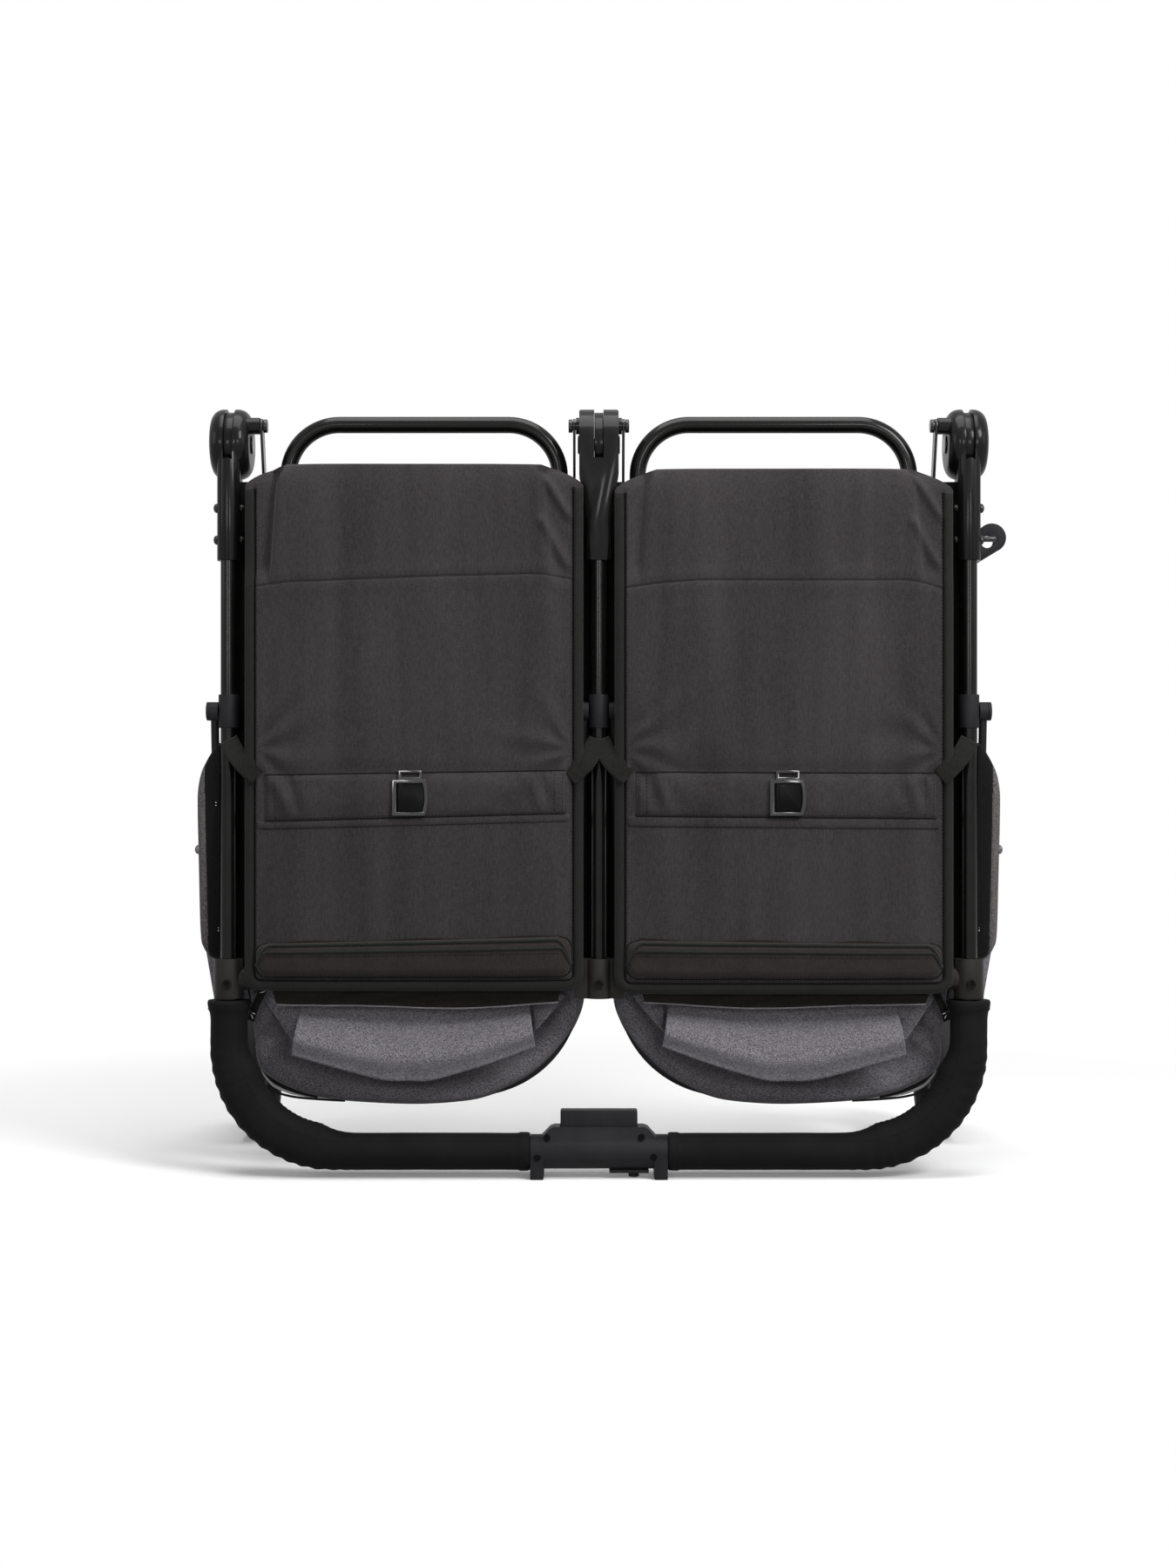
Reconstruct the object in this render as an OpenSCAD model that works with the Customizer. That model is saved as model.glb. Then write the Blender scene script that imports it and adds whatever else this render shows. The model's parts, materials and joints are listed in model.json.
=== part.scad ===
// Side by side double stroller, folded and standing on its handlebar. Millimetres, +Z up, front at -Y.

/* [Frame] */
// Distance between the outer push tubes, centre to centre
frame_spacing = 713; // [690:1:740]
// Height of the fold axis above the floor when folded
fold_axis_z = 709; // [695:1:725]
// Depth of the push frame in front of the origin
push_depth = 152; // [146:1:158]
// Distance from the push tubes back to the front legs
leg_back = 58; // [56:1:60]
// Width of the oval frame tubes
tube_w = 15; // [13:0.5:17]
// Depth of the oval frame tubes
tube_d = 22; // [20:0.5:24]
// Wall of all frame tubes
tube_wall = 1.5; // [1:0.1:2]
// Diameter of the round cross tubes
cross_d = 14; // [12:0.5:15]

/* [Fold knuckles] */
// Diameter of a fold knuckle
disc_d = 68; // [62:1:74]
// Width of a fold knuckle
knuckle_w = 38; // [34:1:42]
// Thickness of the hinge plate between the half shells
plate_t = 8.4; // [6:0.2:10]
// Side play of the hinge plate
plate_play = 0.3; // [0.2:0.05:0.6]
// Width of the tube sockets
socket_w = 22; // [21:0.5:26]
// Depth of the tube sockets
socket_d = 26; // [25:0.5:30]
// Length from the fold axis to the mouth of a socket
socket_drop = 115; // [105:1:125]
// How far a tube reaches into its socket
socket_grip = 60; // [50:1:64]
// Radius of the fold pins
fold_pin_r = 6; // [4:0.5:8]
// Radial running clearance of every pin
pin_fit = 0.05; // [0.02:0.01:0.1]
// Gap round a tube end in its socket
tube_fit = 0.1; // [0.05:0.01:0.15]
// Gap between faces that slide past each other
face_play = 0.3; // [0.2:0.05:0.6]

/* [Handlebar] */
// Diameter of the handle tube
handle_d = 20; // [18:0.5:22]
// Outer diameter of the handle sleeves
sleeve_d = 36; // [32:0.5:40]
// Bend radius of the handle tube
handle_bend = 100; // [80:1:120]
// Height of the upper end of the sleeves
sleeve_top_z = 171; // [160:1:180]
// Width of the corner brackets
bracket_w = 28; // [26:1:32]
// Height of the corner brackets
bracket_h = 38; // [34:1:44]
// Length of the fold module
module_l = 132; // [120:1:150]
// Height of the feet of the fold module
foot_h = 7; // [4:0.5:10]
// Length of the fold trigger
trigger_l = 74; // [60:1:80]
// Travel of the fold trigger
trigger_travel = 8; // [5:0.5:9]
// Travel of the lock slider
slider_travel = 10; // [6:0.5:12]

/* [Seats] */
// Diameter of the seat hoop tube
hoop_d = 16; // [14:0.5:18]
// Length of a seat hoop, centre to centre
hoop_l = 335; // [320:1:350]
// Bend radius of a seat hoop
hoop_bend = 50; // [40:1:60]
// Height of the hoop bend above the fold axis
hoop_rise = 21; // [16:1:26]
// Thickness of the hanger straps
hanger_t = 2.5; // [2:0.1:3]
// Thickness of a seat cushion
cushion_t = 32; // [24:1:36]
// Width of a seat back
back_w = 323; // [310:1:328]
// Thickness of a seat back at its crown
back_t = 22; // [18:1:26]
// Height of the lower edge of the seat backs
back_low_z = 177; // [170:1:190]
// Height of the sewn fold line between seat back and flap
back_fold_z = 576; // [560:1:590]
// Height of the upper edge of the flap
flap_top_z = 688; // [675:1:695]

/* [Canopies] */
// Height of the canopy pivots
collar_z = 449; // [440:1:460]
// Height of a pivot collar
collar_h = 32; // [26:1:38]
// Wall of a pivot collar
collar_wall = 2; // [1.5:0.1:3]
// Diameter of the canopy bow
bow_d = 8; // [6:0.5:9]
// Length of the canopy bow from its pivot
bow_l = 376; // [360:1:378]
// Lean of the folded canopy behind the push tubes, in degrees
canopy_lean = 7; // [6.5:0.1:7.5]

/* [Wheels] */
// Radius of the front wheels
front_r = 54; // [50:1:56]
// Width of the front tyres
front_tyre_w = 25; // [22:1:28]
// Distance from the swivel axis to the front axle
castor_trail = 20; // [18:1:24]
// Drop from the swivel point to the front axle
castor_drop = 86; // [84:1:90]
// Lean of the swivel axis against the leg, in degrees
castor_lean = 35; // [33:0.5:37]
// Height of the swivel point when folded
swivel_z = 285; // [280:1:295]
// Radius of the rear wheels
rear_r = 75; // [68:1:78]
// Width of the rear tyres
rear_tyre_w = 30; // [26:1:34]
// Depth of the rear axle behind the origin
rear_axle_y = 118.1; // [114:0.1:124]
// Height of the rear leg pivots
rear_pivot_z = 560; // [550:1:570]
// Diameter of the rear legs
rear_leg_d = 16; // [14:0.5:18]
// Distance of the rear legs inside the front legs
rear_leg_in = 21.5; // [21:0.5:24]

/* [Hidden] */
$fn = 48;

gloss_black = [0.07, 0.07, 0.08];
matt_black = [0.12, 0.12, 0.12];
steel_grey = [0.7, 0.7, 0.72];
cloth_dark = [0.2, 0.19, 0.2];
cloth_grey = [0.4, 0.4, 0.42];

push_y = -push_depth;
leg_y = push_y + leg_back;
outer_x = frame_spacing / 2;
legs_x = [-outer_x, 0, outer_x];
disc_r = disc_d / 2;
fold_y = push_y + disc_r - socket_d / 2;
fold_z = fold_axis_z;
plate_r = disc_r - 3;
slot_r = disc_r + 4;
knuckle_body = 32;
knuckle_neck = 78;
knuckle_round = 12;
drum_round = 4;
tube_top_z = fold_z - socket_drop + socket_grip;

hang_y = fold_y - 14;
hang_z = fold_z + 16;
hang_r = 4;
hang_boss_r = 8;
hang_head_r = 6.5;
hang_head_l = 4;
hang_root = 9;
hang_bosses = [[-outer_x + knuckle_w / 2, 1, 10.2], [-knuckle_w / 2, -1, 3.2],
  [knuckle_w / 2, 1, 3.2], [outer_x - knuckle_w / 2, -1, 10.2]];
hanger_r = 7;
hanger_foot_r = 5;
hoop_y = fold_y + 11;
hanger_foot = [hoop_y, fold_z - 54];
hoop_out_gap = 26;
hoop_in_gap = 11;
hoop_xo = outer_x - knuckle_w / 2 - hoop_out_gap - hoop_d / 2;
hoop_xi = knuckle_w / 2 + hoop_in_gap + hoop_d / 2;
hoop_z1 = fold_z + hoop_rise;
hoop_z0 = hoop_z1 - hoop_l;

head_top_z = fold_z - 52;
head_low_z = head_top_z - 68;
leg_top_z = head_top_z - 8;
leg_low_z = swivel_z + 19;
lug_r = 11;
rear_pivot_y = leg_y + tube_d / 2 + lug_r + 0.5;
rear_pin_r = 5;
foot_bar_z = leg_low_z + 38;
latch_x = outer_x + 3.5;
latch_z = head_low_z + 9;
latch_t = 5;
latch_eye_r = 8;
latch_leaf = [23, 21];
latch_leaf_r = 14;
latch_hole = [18.5, 17];
latch_hole_r = 6;
latch_pin_r = 3;
latch_root = 1.8;
stud_l = 15;
stud_r = 2.7;
latch_front = leg_y - socket_d / 2 - 21;

stem_r = 6;
barrel_r = 15;
barrel_up = 20;
barrel_down = 12;
castor_lap = 10;
crown_half = 14;
castor_grip = 24;
crown_h = 11;
fork_t = 4;
fork_gap = 1.5;
fork_x = front_tyre_w / 2 + fork_gap;
front_axle_r = 4;
rear_axle_r = 5;
rear_axle_z = rear_r;
rear_leg_x = outer_x - rear_leg_in;
rear_angle = atan2(rear_axle_y - rear_pivot_y, rear_pivot_z - rear_axle_z);
rear_leg_l = norm([rear_axle_y - rear_pivot_y, rear_pivot_z - rear_axle_z]);
rear_eye_r = 11;
rear_eye_w = rear_leg_d;
rear_cross_up = 122;
rear_cross_s = rear_leg_l - rear_cross_up;
rear_wheel_in = 15;
rear_wheel_x = rear_leg_x + rear_wheel_in + rear_tyre_w / 2;
housing_r = 17;
housing_w = 24;

bracket_z0 = sleeve_top_z + 2;
bracket_d = 32;
cross_z = bracket_z0 + bracket_h / 2;
cross_boss_l = 14;
handle_z = foot_h + sleeve_d / 2;
tee_w = 48;
body_r = sleeve_d / 2 - 1.5;
body_low = handle_z - body_r;
hump_top = 50;
hump_low = 40;
hump_d = 25;
hump_base = 22;
hump_run = 10;
foot_w = 13;
foot_d = 32;
trigger_w = 18;
trigger_sink = 4;
trigger_rise = 15.5;
slider_x0 = module_l / 2 - 56;
slider_l = 38;
slider_w = 16;
slider_neck = 8;
slider_h = 4;
slider_plate = 3;

back_in = 15;
back_mid = back_in + back_w / 2;
back_y = push_y - tube_d / 2 - 2;
back_edge = 10;
seam_play = 0.5;
corner_in = 34;
corner_up = 30;
buckle_x = 179;
buckle_z = 366;
buckle_w = 34;
buckle_l = 34;
buckle_bar = 4;
buckle_rim = 3.2;
buckle_bow_r = 52;
buckle_t = 5.6;
buckle_y = back_y - back_t - 0.3;
keeper_w = 22;
keeper_h = 9;
keeper_rim = 2.4;
lever_t = 2.5;
lever_pin_r = 1.5;
lever_eye_r = 2.6;
lever_x = -buckle_w / 2 + buckle_bar + lever_eye_r + face_play;

function unit(v) = v / norm(v);
function turn(a, b) = atan2(cross(a, b), a * b);
function lerp(a, b, t) = a + (b - a) * t;
function ease(t) = let (c = min(1, max(0, t))) c * c * (3 - 2 * c);
function groove(z, at, wide) = exp(-pow((z - at) / wide, 2));

module oval(w, d) {
  translate([0, (d - w) / 2]) circle(d = w);
  translate([0, (w - d) / 2]) circle(d = w);
  square([w, d - w], center = true);
}

module tube_bore() oval(tube_w + 2 * tube_fit, tube_d + 2 * tube_fit);

module oval_tube(h) {
  linear_extrude(h) difference() {
    oval(tube_w, tube_d);
    oval(tube_w - 2 * tube_wall, tube_d - 2 * tube_wall);
  }
}

module along_x(xa, xb) {
  translate([min(xa, xb), 0, 0]) rotate([90, 0, 90]) linear_extrude(abs(xb - xa)) children();
}

module along_y(ya, yb) {
  translate([0, max(ya, yb), 0]) rotate([90, 0, 0]) linear_extrude(abs(yb - ya)) children();
}

module x_rod(xa, xb, r, y, z) {
  along_x(xa, xb) translate([y, z]) circle(r);
}

module strap_outline(p, q, r) {
  translate(p) circle(r);
  translate(q) circle(r);
  translate(p) rotate(atan2(q.y - p.y, q.x - p.x)) translate([0, -r]) square([norm(q - p), 2 * r]);
}

// Two circles of their own radius, joined by straight sides just inside their outer tangents
module leaf_outline(p, rp, q, rq) {
  way = atan2(q.y - p.y, q.x - p.x);
  turn = acos((rp - rq) / norm(q - p));
  lap = 0.1;
  translate(p) circle(rp);
  translate(q) circle(rq);
  polygon([for (a = [way + turn, way - turn]) p + (rp - lap) * [cos(a), sin(a)],
    for (a = [way - turn, way + turn]) q + (rq - lap) * [cos(a), sin(a)]]);
}

module ring_section(d, wall) {
  difference() {
    circle(d = d);
    if (wall > 0) circle(d = d - 2 * wall);
  }
}

// A tube bent in the XY plane: straight runs and true arcs through the given corners.
// A solid rod laps its arcs
module bent_tube(pts, bend, d, wall) {
  last = len(pts) - 1;
  run = [for (i = [0:last - 1]) unit(pts[i + 1] - pts[i])];
  bow = [for (i = [0:last]) i == 0 || i == last ? 0 : turn(run[i - 1], run[i])];
  cut = [for (i = [0:last]) bend[i] * tan(abs(bow[i]) / 2)];
  lap = wall > 0 ? 0 : 0.5;
  neck = wall > 0 ? 0 : 0.1;
  for (i = [0:last - 1]) {
    a = pts[i] + run[i] * (cut[i] - (i == 0 ? 0 : lap));
    b = pts[i + 1] - run[i] * (cut[i + 1] - (i == last - 1 ? 0 : lap));
    translate([a.x, a.y, 0]) rotate([0, 0, atan2(run[i].y, run[i].x)]) rotate([90, 0, 90])
      linear_extrude(norm(b - a)) ring_section(d - 2 * neck, wall);
  }
  for (i = [1:1:last - 1]) {
    side = sign(bow[i]);
    start = pts[i] - run[i - 1] * cut[i];
    mid = start + side * bend[i] * [-run[i - 1].y, run[i - 1].x];
    from = side > 0 ? start - mid : pts[i] + run[i] * cut[i] - mid;
    translate([mid.x, mid.y, 0]) rotate([0, 0, atan2(from.y, from.x)])
      rotate_extrude(angle = abs(bow[i]), $fn = 96) translate([bend[i], 0]) ring_section(d, wall);
  }
}

// A closed soft solid between two skins given as functions of u and v
module two_skin(nu, nv, front, back) {
  row = nu + 1;
  count = row * (nv + 1);
  points = concat([for (j = [0:nv]) for (i = [0:nu]) front(i / nu, j / nv)],
    [for (j = [0:nv]) for (i = [0:nu]) back(i / nu, j / nv)]);
  skins = [for (j = [0:nv - 1]) for (i = [0:nu - 1]) let (a = j * row + i, b = a + 1, c = a + row, d = c + 1)
    each [[a, c, d], [a, d, b], [count + a, count + d, count + c], [count + a, count + b, count + d]]];
  low = [for (i = [0:nu - 1]) let (a = i, b = i + 1)
    each [[a, b, count + b], [a, count + b, count + a]]];
  top = [for (i = [0:nu - 1]) let (a = nv * row + i, b = a + 1)
    each [[b, a, count + a], [b, count + a, count + b]]];
  left = [for (j = [0:nv - 1]) let (a = j * row, b = a + row)
    each [[b, a, count + a], [b, count + a, count + b]]];
  right = [for (j = [0:nv - 1]) let (a = j * row + nu, b = a + row)
    each [[a, b, count + b], [a, count + b, count + a]]];
  polyhedron(points, concat(skins, low, top, left, right));
}

// Front chassis

module leg_head_side() {
  difference() {
    union() {
      translate([fold_y, fold_z]) circle(plate_r, $fn = 96);
      polygon([[fold_y - 4, fold_z - plate_r + 3], [fold_y + plate_r - 1, fold_z - 6],
        [leg_y + tube_d / 2, head_top_z - 6], [leg_y - tube_d / 2, head_top_z - 6]]);
    }
    translate([fold_y, fold_z]) circle(fold_pin_r + pin_fit);
  }
}

module leg_head(x) {
  along_x(x - plate_t / 2, x + plate_t / 2) leg_head_side();
  difference() {
    translate([x, leg_y, head_low_z]) linear_extrude(head_top_z - head_low_z) oval(socket_w, socket_d);
    translate([x, leg_y, head_low_z - 1]) linear_extrude(leg_top_z - head_low_z + 1) tube_bore();
  }
}

module rear_pivot(s) {
  face = s * (outer_x - tube_w / 2);
  eye_a = s * (rear_leg_x + rear_eye_w / 2 + face_play);
  eye_b = s * (rear_leg_x - rear_eye_w / 2 - face_play);
  difference() {
    along_x(face, s * (outer_x + tube_w / 2)) {
      translate([rear_pivot_y, rear_pivot_z]) circle(lug_r);
      translate([rear_pivot_y - lug_r, rear_pivot_z]) square([2 * lug_r, head_low_z + 14 - rear_pivot_z]);
    }
    translate([s * outer_x, leg_y, rear_pivot_z - 2 * lug_r])
      linear_extrude(leg_top_z - rear_pivot_z + 2 * lug_r) tube_bore();
  }
  x_rod(face, eye_a, rear_pin_r + 3, rear_pivot_y, rear_pivot_z);
  x_rod(face, eye_b, rear_pin_r, rear_pivot_y, rear_pivot_z);
  x_rod(eye_b, eye_b - s * 3, rear_pin_r + 3, rear_pivot_y, rear_pivot_z);
}

module latch_pin() {
  y_end = latch_front - face_play;
  translate([latch_x, 0, latch_z]) along_y(leg_y - socket_d / 2 + latch_root, y_end) circle(latch_pin_r);
  translate([latch_x, 0, latch_z]) along_y(y_end, y_end - 2) circle(latch_pin_r + 2);
}

module leg_heads() color(gloss_black) {
  for (x = legs_x) leg_head(x);
  for (s = [-1, 1]) rear_pivot(s);
  latch_pin();
}

module front_leg(x) color(gloss_black) difference() {
  translate([x, leg_y, leg_low_z]) oval_tube(leg_top_z - leg_low_z);
  x_rod(x - tube_w, x + tube_w, cross_d / 2, leg_y, foot_bar_z);
}

module front_leg_left() front_leg(-outer_x);
module front_leg_center() front_leg(0);
module front_leg_right() front_leg(outer_x);

module foot_bar() color(gloss_black)
  along_x(-outer_x - tube_w / 2, outer_x + tube_w / 2)
  translate([leg_y, foot_bar_z]) ring_section(cross_d, tube_wall);

module in_castor(x) translate([x, leg_y, swivel_z]) rotate([castor_lean, 0, 0]) children();

module castor_housing(x) difference() {
  union() {
    translate([x, leg_y, leg_low_z - castor_lap])
      linear_extrude(castor_lap + castor_grip) oval(socket_w, socket_d);
    in_castor(x) translate([0, 0, -barrel_down]) cylinder(r = barrel_r, h = barrel_down + barrel_up);
  }
  translate([x, leg_y, leg_low_z]) linear_extrude(castor_grip + barrel_up + barrel_down) tube_bore();
  in_castor(x) translate([0, 0, -barrel_down - 1]) cylinder(r = stem_r + pin_fit, h = barrel_down + 11);
}

module castor_housings() color(matt_black) for (x = legs_x) castor_housing(x);

// Castors and wheels

module fork_side() {
  translate([castor_trail, -castor_drop]) circle(11);
  polygon([[-crown_half, -barrel_down - face_play], [crown_half, -barrel_down - face_play],
    [crown_half + 2, -barrel_down - crown_h],
    [castor_trail + 10.5, -castor_drop + 3], [castor_trail - 10, -castor_drop - 4],
    [-crown_half, -barrel_down - crown_h]]);
}

module castor_fork(x) color(matt_black) in_castor(x) {
  translate([0, 0, -barrel_down - face_play]) cylinder(r = stem_r, h = barrel_down + 9.5);
  along_x(-fork_x - fork_t, fork_x + fork_t) translate([-crown_half, -barrel_down - crown_h])
    square([2 * crown_half, crown_h - face_play]);
  for (s = [-1, 1]) along_x(s * fork_x, s * (fork_x + fork_t)) fork_side();
  x_rod(-fork_x - fork_t, fork_x + fork_t, front_axle_r, castor_trail, -castor_drop);
}

module castor_fork_left() castor_fork(-outer_x);
module castor_fork_center() castor_fork(0);
module castor_fork_right() castor_fork(outer_x);

// Spoked hub about the X axis: rim, web with round windows, boss and bore
module wheel_hub(rim_r, width, axle_r, boss_w) rotate([0, 90, 0]) difference() {
  union() {
    difference() {
      cylinder(r = rim_r, h = width, center = true);
      cylinder(r = rim_r - 5, h = width + 2, center = true);
    }
    cylinder(r = rim_r - 4, h = 6, center = true);
    cylinder(r = axle_r + 7, h = boss_w, center = true);
  }
  cylinder(r = axle_r + pin_fit, h = boss_w + 2, center = true);
  for (a = [0:60:359]) rotate([0, 0, a]) translate([(rim_r + axle_r + 3) / 2, 0, 0])
    cylinder(r = (rim_r - axle_r) / 5, h = width, center = true);
}

module wheel_tyre(rim_r, wheel_r, width) rotate([0, 90, 0]) rotate_extrude($fn = 96) intersection() {
  translate([wheel_r - 22, 0]) circle(22);
  translate([rim_r, -width / 2]) square([wheel_r - rim_r + 1, width]);
}

front_rim_r = front_r - 14;
rear_rim_r = rear_r - 17;

module at_front_axle(x) in_castor(x) translate([0, castor_trail, -castor_drop]) children();

module front_hub(x) color(matt_black) at_front_axle(x)
  wheel_hub(front_rim_r, front_tyre_w - 5, front_axle_r, 2 * (fork_x - face_play));
module front_hub_left() front_hub(-outer_x);
module front_hub_center() front_hub(0);
module front_hub_right() front_hub(outer_x);

module front_tyre(x) color(matt_black) at_front_axle(x) wheel_tyre(front_rim_r, front_r, front_tyre_w);
module front_tyre_left() front_tyre(-outer_x);
module front_tyre_center() front_tyre(0);
module front_tyre_right() front_tyre(outer_x);

// Rear frame

module in_rear(x) translate([x, rear_pivot_y, rear_pivot_z]) rotate([rear_angle, 0, 0]) children();

module rear_leg(s) color(gloss_black) in_rear(s * rear_leg_x) difference() {
  union() {
    x_rod(-rear_eye_w / 2, rear_eye_w / 2, rear_eye_r, 0, 0);
    translate([0, 0, -rear_leg_l + housing_r + 4]) difference() {
      cylinder(d = rear_leg_d, h = rear_leg_l - housing_r - 4);
      translate([0, 0, -1]) cylinder(d = rear_leg_d - 2 * tube_wall, h = rear_leg_l - housing_r - 22);
    }
  }
  x_rod(-rear_leg_d, rear_leg_d, rear_pin_r + pin_fit, 0, 0);
  x_rod(-rear_leg_d, rear_leg_d, cross_d / 2 - 2, 0, -rear_cross_s);
}

module rear_leg_left() rear_leg(-1);
module rear_leg_right() rear_leg(1);

module rear_cross_tube() color(gloss_black) in_rear(0) {
  reach = rear_leg_x + rear_leg_d / 2;
  along_x(-reach, reach) translate([0, -rear_cross_s]) ring_section(cross_d - 4, tube_wall);
}

module rear_housing(s) difference() {
  in_rear(s * rear_leg_x) {
    x_rod(-housing_w / 2, housing_w / 2, housing_r, 0, -rear_leg_l);
    translate([0, 0, -rear_leg_l]) cylinder(d = housing_w, h = 56);
  }
  in_rear(s * rear_leg_x) translate([0, 0, -rear_leg_l + housing_r + 4]) cylinder(d = rear_leg_d, h = 60);
  x_rod(s * (rear_leg_x - housing_w), s * (rear_leg_x + housing_w), rear_axle_r, rear_axle_y, rear_axle_z);
  x_rod(s * (rear_leg_x - housing_w), s * (rear_leg_x - 4), pedal_pin_r, pedal_y, pedal_z);
}

pedal_pin_r = 3;
pedal_y = rear_axle_y + 2;
pedal_up = 30;
pedal_z = rear_axle_z + pedal_up;
pedal_eye_r = 8;
pedal_l = 52;
pedal_w = 34;
pedal_x0 = rear_leg_x - housing_w / 2 - face_play;

module rear_housings() color(matt_black) for (s = [-1, 1]) rear_housing(s);

module rear_axles() color(steel_grey) {
  wheel_out = rear_wheel_x + rear_tyre_w / 2;
  for (s = [-1, 1]) {
    cap = wheel_out + face_play;
    x_rod(s * (rear_leg_x - housing_w / 2), s * cap, rear_axle_r, rear_axle_y, rear_axle_z);
    x_rod(s * cap, s * (cap + 2), rear_axle_r + 5, rear_axle_y, rear_axle_z);
  }
  x_rod(rear_leg_x - 4, pedal_x0 - pedal_w - face_play, pedal_pin_r, pedal_y, pedal_z);
  x_rod(pedal_x0 - pedal_w - face_play, pedal_x0 - pedal_w - face_play - 2, pedal_pin_r + 3,
    pedal_y, pedal_z);
}

module at_rear_axle(s) translate([s * rear_wheel_x, rear_axle_y, rear_axle_z]) children();
rear_boss_w = rear_tyre_w;
module rear_hub(s) color(matt_black)
  at_rear_axle(s) wheel_hub(rear_rim_r, rear_tyre_w - 6, rear_axle_r, rear_boss_w);
module rear_hub_left() rear_hub(-1);
module rear_hub_right() rear_hub(1);
module rear_tyre(s) color(matt_black) at_rear_axle(s) wheel_tyre(rear_rim_r, rear_r, rear_tyre_w);
module rear_tyre_left() rear_tyre(-1);
module rear_tyre_right() rear_tyre(1);

module brake_pedal() color(matt_black) difference() {
  along_x(pedal_x0, pedal_x0 - pedal_w) translate([pedal_y, pedal_z]) {
    circle(pedal_eye_r);
    rotate(-40) translate([0, -pedal_eye_r]) square([pedal_l - 6, pedal_eye_r * 1.5]);
    rotate(-40) translate([pedal_l - 6, -pedal_eye_r * 0.25]) circle(pedal_eye_r * 0.75);
  }
  x_rod(pedal_x0 + 1, pedal_x0 - pedal_w - 1, pedal_pin_r + pin_fit, pedal_y, pedal_z);
}

module transport_latch() color(matt_black) difference() {
  pin = [latch_x, latch_z];
  along_y(latch_front, latch_front + latch_t)
    leaf_outline(pin, latch_eye_r, pin + latch_leaf, latch_leaf_r);
  along_y(latch_front - 1, latch_front + latch_t + 1) {
    translate(pin) circle(latch_pin_r + pin_fit);
    translate(pin + latch_hole) circle(latch_hole_r);
  }
}

// Push frame

// Outer knuckles: a disc with a full round rim over a straight socket
module round_rim() {
  inner = knuckle_w / 2 - knuckle_round;
  translate([0, -knuckle_w / 2]) square([disc_r - knuckle_round, knuckle_w]);
  translate([0, -inner]) square([disc_r, 2 * inner]);
  for (s = [-1, 1]) translate([disc_r - knuckle_round, s * inner]) circle(knuckle_round);
}

module outer_knuckle(x) {
  translate([x, fold_y, fold_z]) rotate([0, 90, 0]) rotate_extrude($fn = 96) round_rim();
  translate([x, push_y, fold_z - socket_drop])
    linear_extrude(socket_drop - disc_r / 3) oval(socket_w, socket_d);
}

// Middle knuckle: a plain drum that tapers into its socket
module knuckle_side() {
  translate([fold_y, fold_z]) circle(disc_r, $fn = 96);
  translate([push_y - socket_d / 2, fold_z - socket_drop]) square([socket_d, socket_drop]);
}

module knuckle_front() {
  low = fold_z - knuckle_body;
  neck = fold_z - knuckle_neck;
  inner_w = knuckle_w - 2 * drum_round;
  translate([-knuckle_w / 2, low]) square([knuckle_w, disc_r + knuckle_body - drum_round]);
  for (s = [-1, 1]) translate([s * inner_w / 2, fold_z + disc_r - drum_round]) circle(drum_round);
  translate([-inner_w / 2, low]) square([inner_w, disc_r + knuckle_body]);
  polygon([[-knuckle_w / 2, low], [knuckle_w / 2, low], [socket_w / 2, neck], [-socket_w / 2, neck]]);
  translate([-socket_w / 2, fold_z - socket_drop]) square([socket_w, socket_drop - knuckle_neck]);
}

module middle_knuckle() intersection() {
  along_x(-knuckle_w / 2, knuckle_w / 2) knuckle_side();
  along_y(fold_y - 2 * disc_r, fold_y + 2 * disc_r) knuckle_front();
}

module knuckle(x) difference() {
  if (x == 0) middle_knuckle(); else outer_knuckle(x);
  along_x(x - plate_t / 2 - plate_play, x + plate_t / 2 + plate_play)
    translate([fold_y, fold_z]) circle(slot_r, $fn = 96);
  translate([x, push_y, fold_z - socket_drop - 1]) linear_extrude(socket_grip + 1) tube_bore();
  x_rod(x - knuckle_w, x + knuckle_w, fold_pin_r, fold_y, fold_z);
}

module knuckles() color(gloss_black) difference() {
  union() {
    for (x = legs_x) knuckle(x);
    for (b = hang_bosses) x_rod(b[0] - b[1] * 4, b[0] + b[1] * b[2], hang_boss_r, hang_y, hang_z);
  }
  for (b = hang_bosses) x_rod(b[0] - b[1] * 9, b[0] + b[1] * (b[2] + 1), hang_r, hang_y, hang_z);
}

function hanger_x0(b) = b[0] + b[1] * (b[2] + face_play);
function hanger_x1(b) = hanger_x0(b) + b[1] * hanger_t;

module hinge_pins() color(steel_grey) {
  for (x = legs_x) {
    x_rod(x - knuckle_w / 2, x + knuckle_w / 2, fold_pin_r, fold_y, fold_z);
    for (s = [-1, 1]) x_rod(x + s * knuckle_w / 2, x + s * (knuckle_w / 2 + 1.5), fold_pin_r + 3,
      fold_y, fold_z);
  }
  for (b = hang_bosses) {
    head = hanger_x1(b) + b[1] * face_play;
    x_rod(b[0] - b[1] * hang_root, head, hang_r, hang_y, hang_z);
    x_rod(head, head + b[1] * hang_head_l, hang_head_r, hang_y, hang_z);
  }
  stud_x = outer_x + socket_w / 2;
  x_rod(stud_x, stud_x + stud_l, stud_r, push_y, latch_z + latch_hole.y);
}

module push_tube(x, low) color(gloss_black) translate([x, push_y, low]) oval_tube(tube_top_z - low);
push_low_z = cross_z + cross_d / 2 + 1;
module push_tube_left() push_tube(-outer_x, push_low_z);
module push_tube_center() push_tube(0, push_low_z);
module push_tube_right() push_tube(outer_x, push_low_z);

collar_out = tube_w / 2 + collar_wall;
eye_w = bow_d;
eye_r = 9;
eye_pin_r = 4;
collar_sides = [[-outer_x, -1], [0, -1], [0, 1], [outer_x, 1]];

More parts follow.
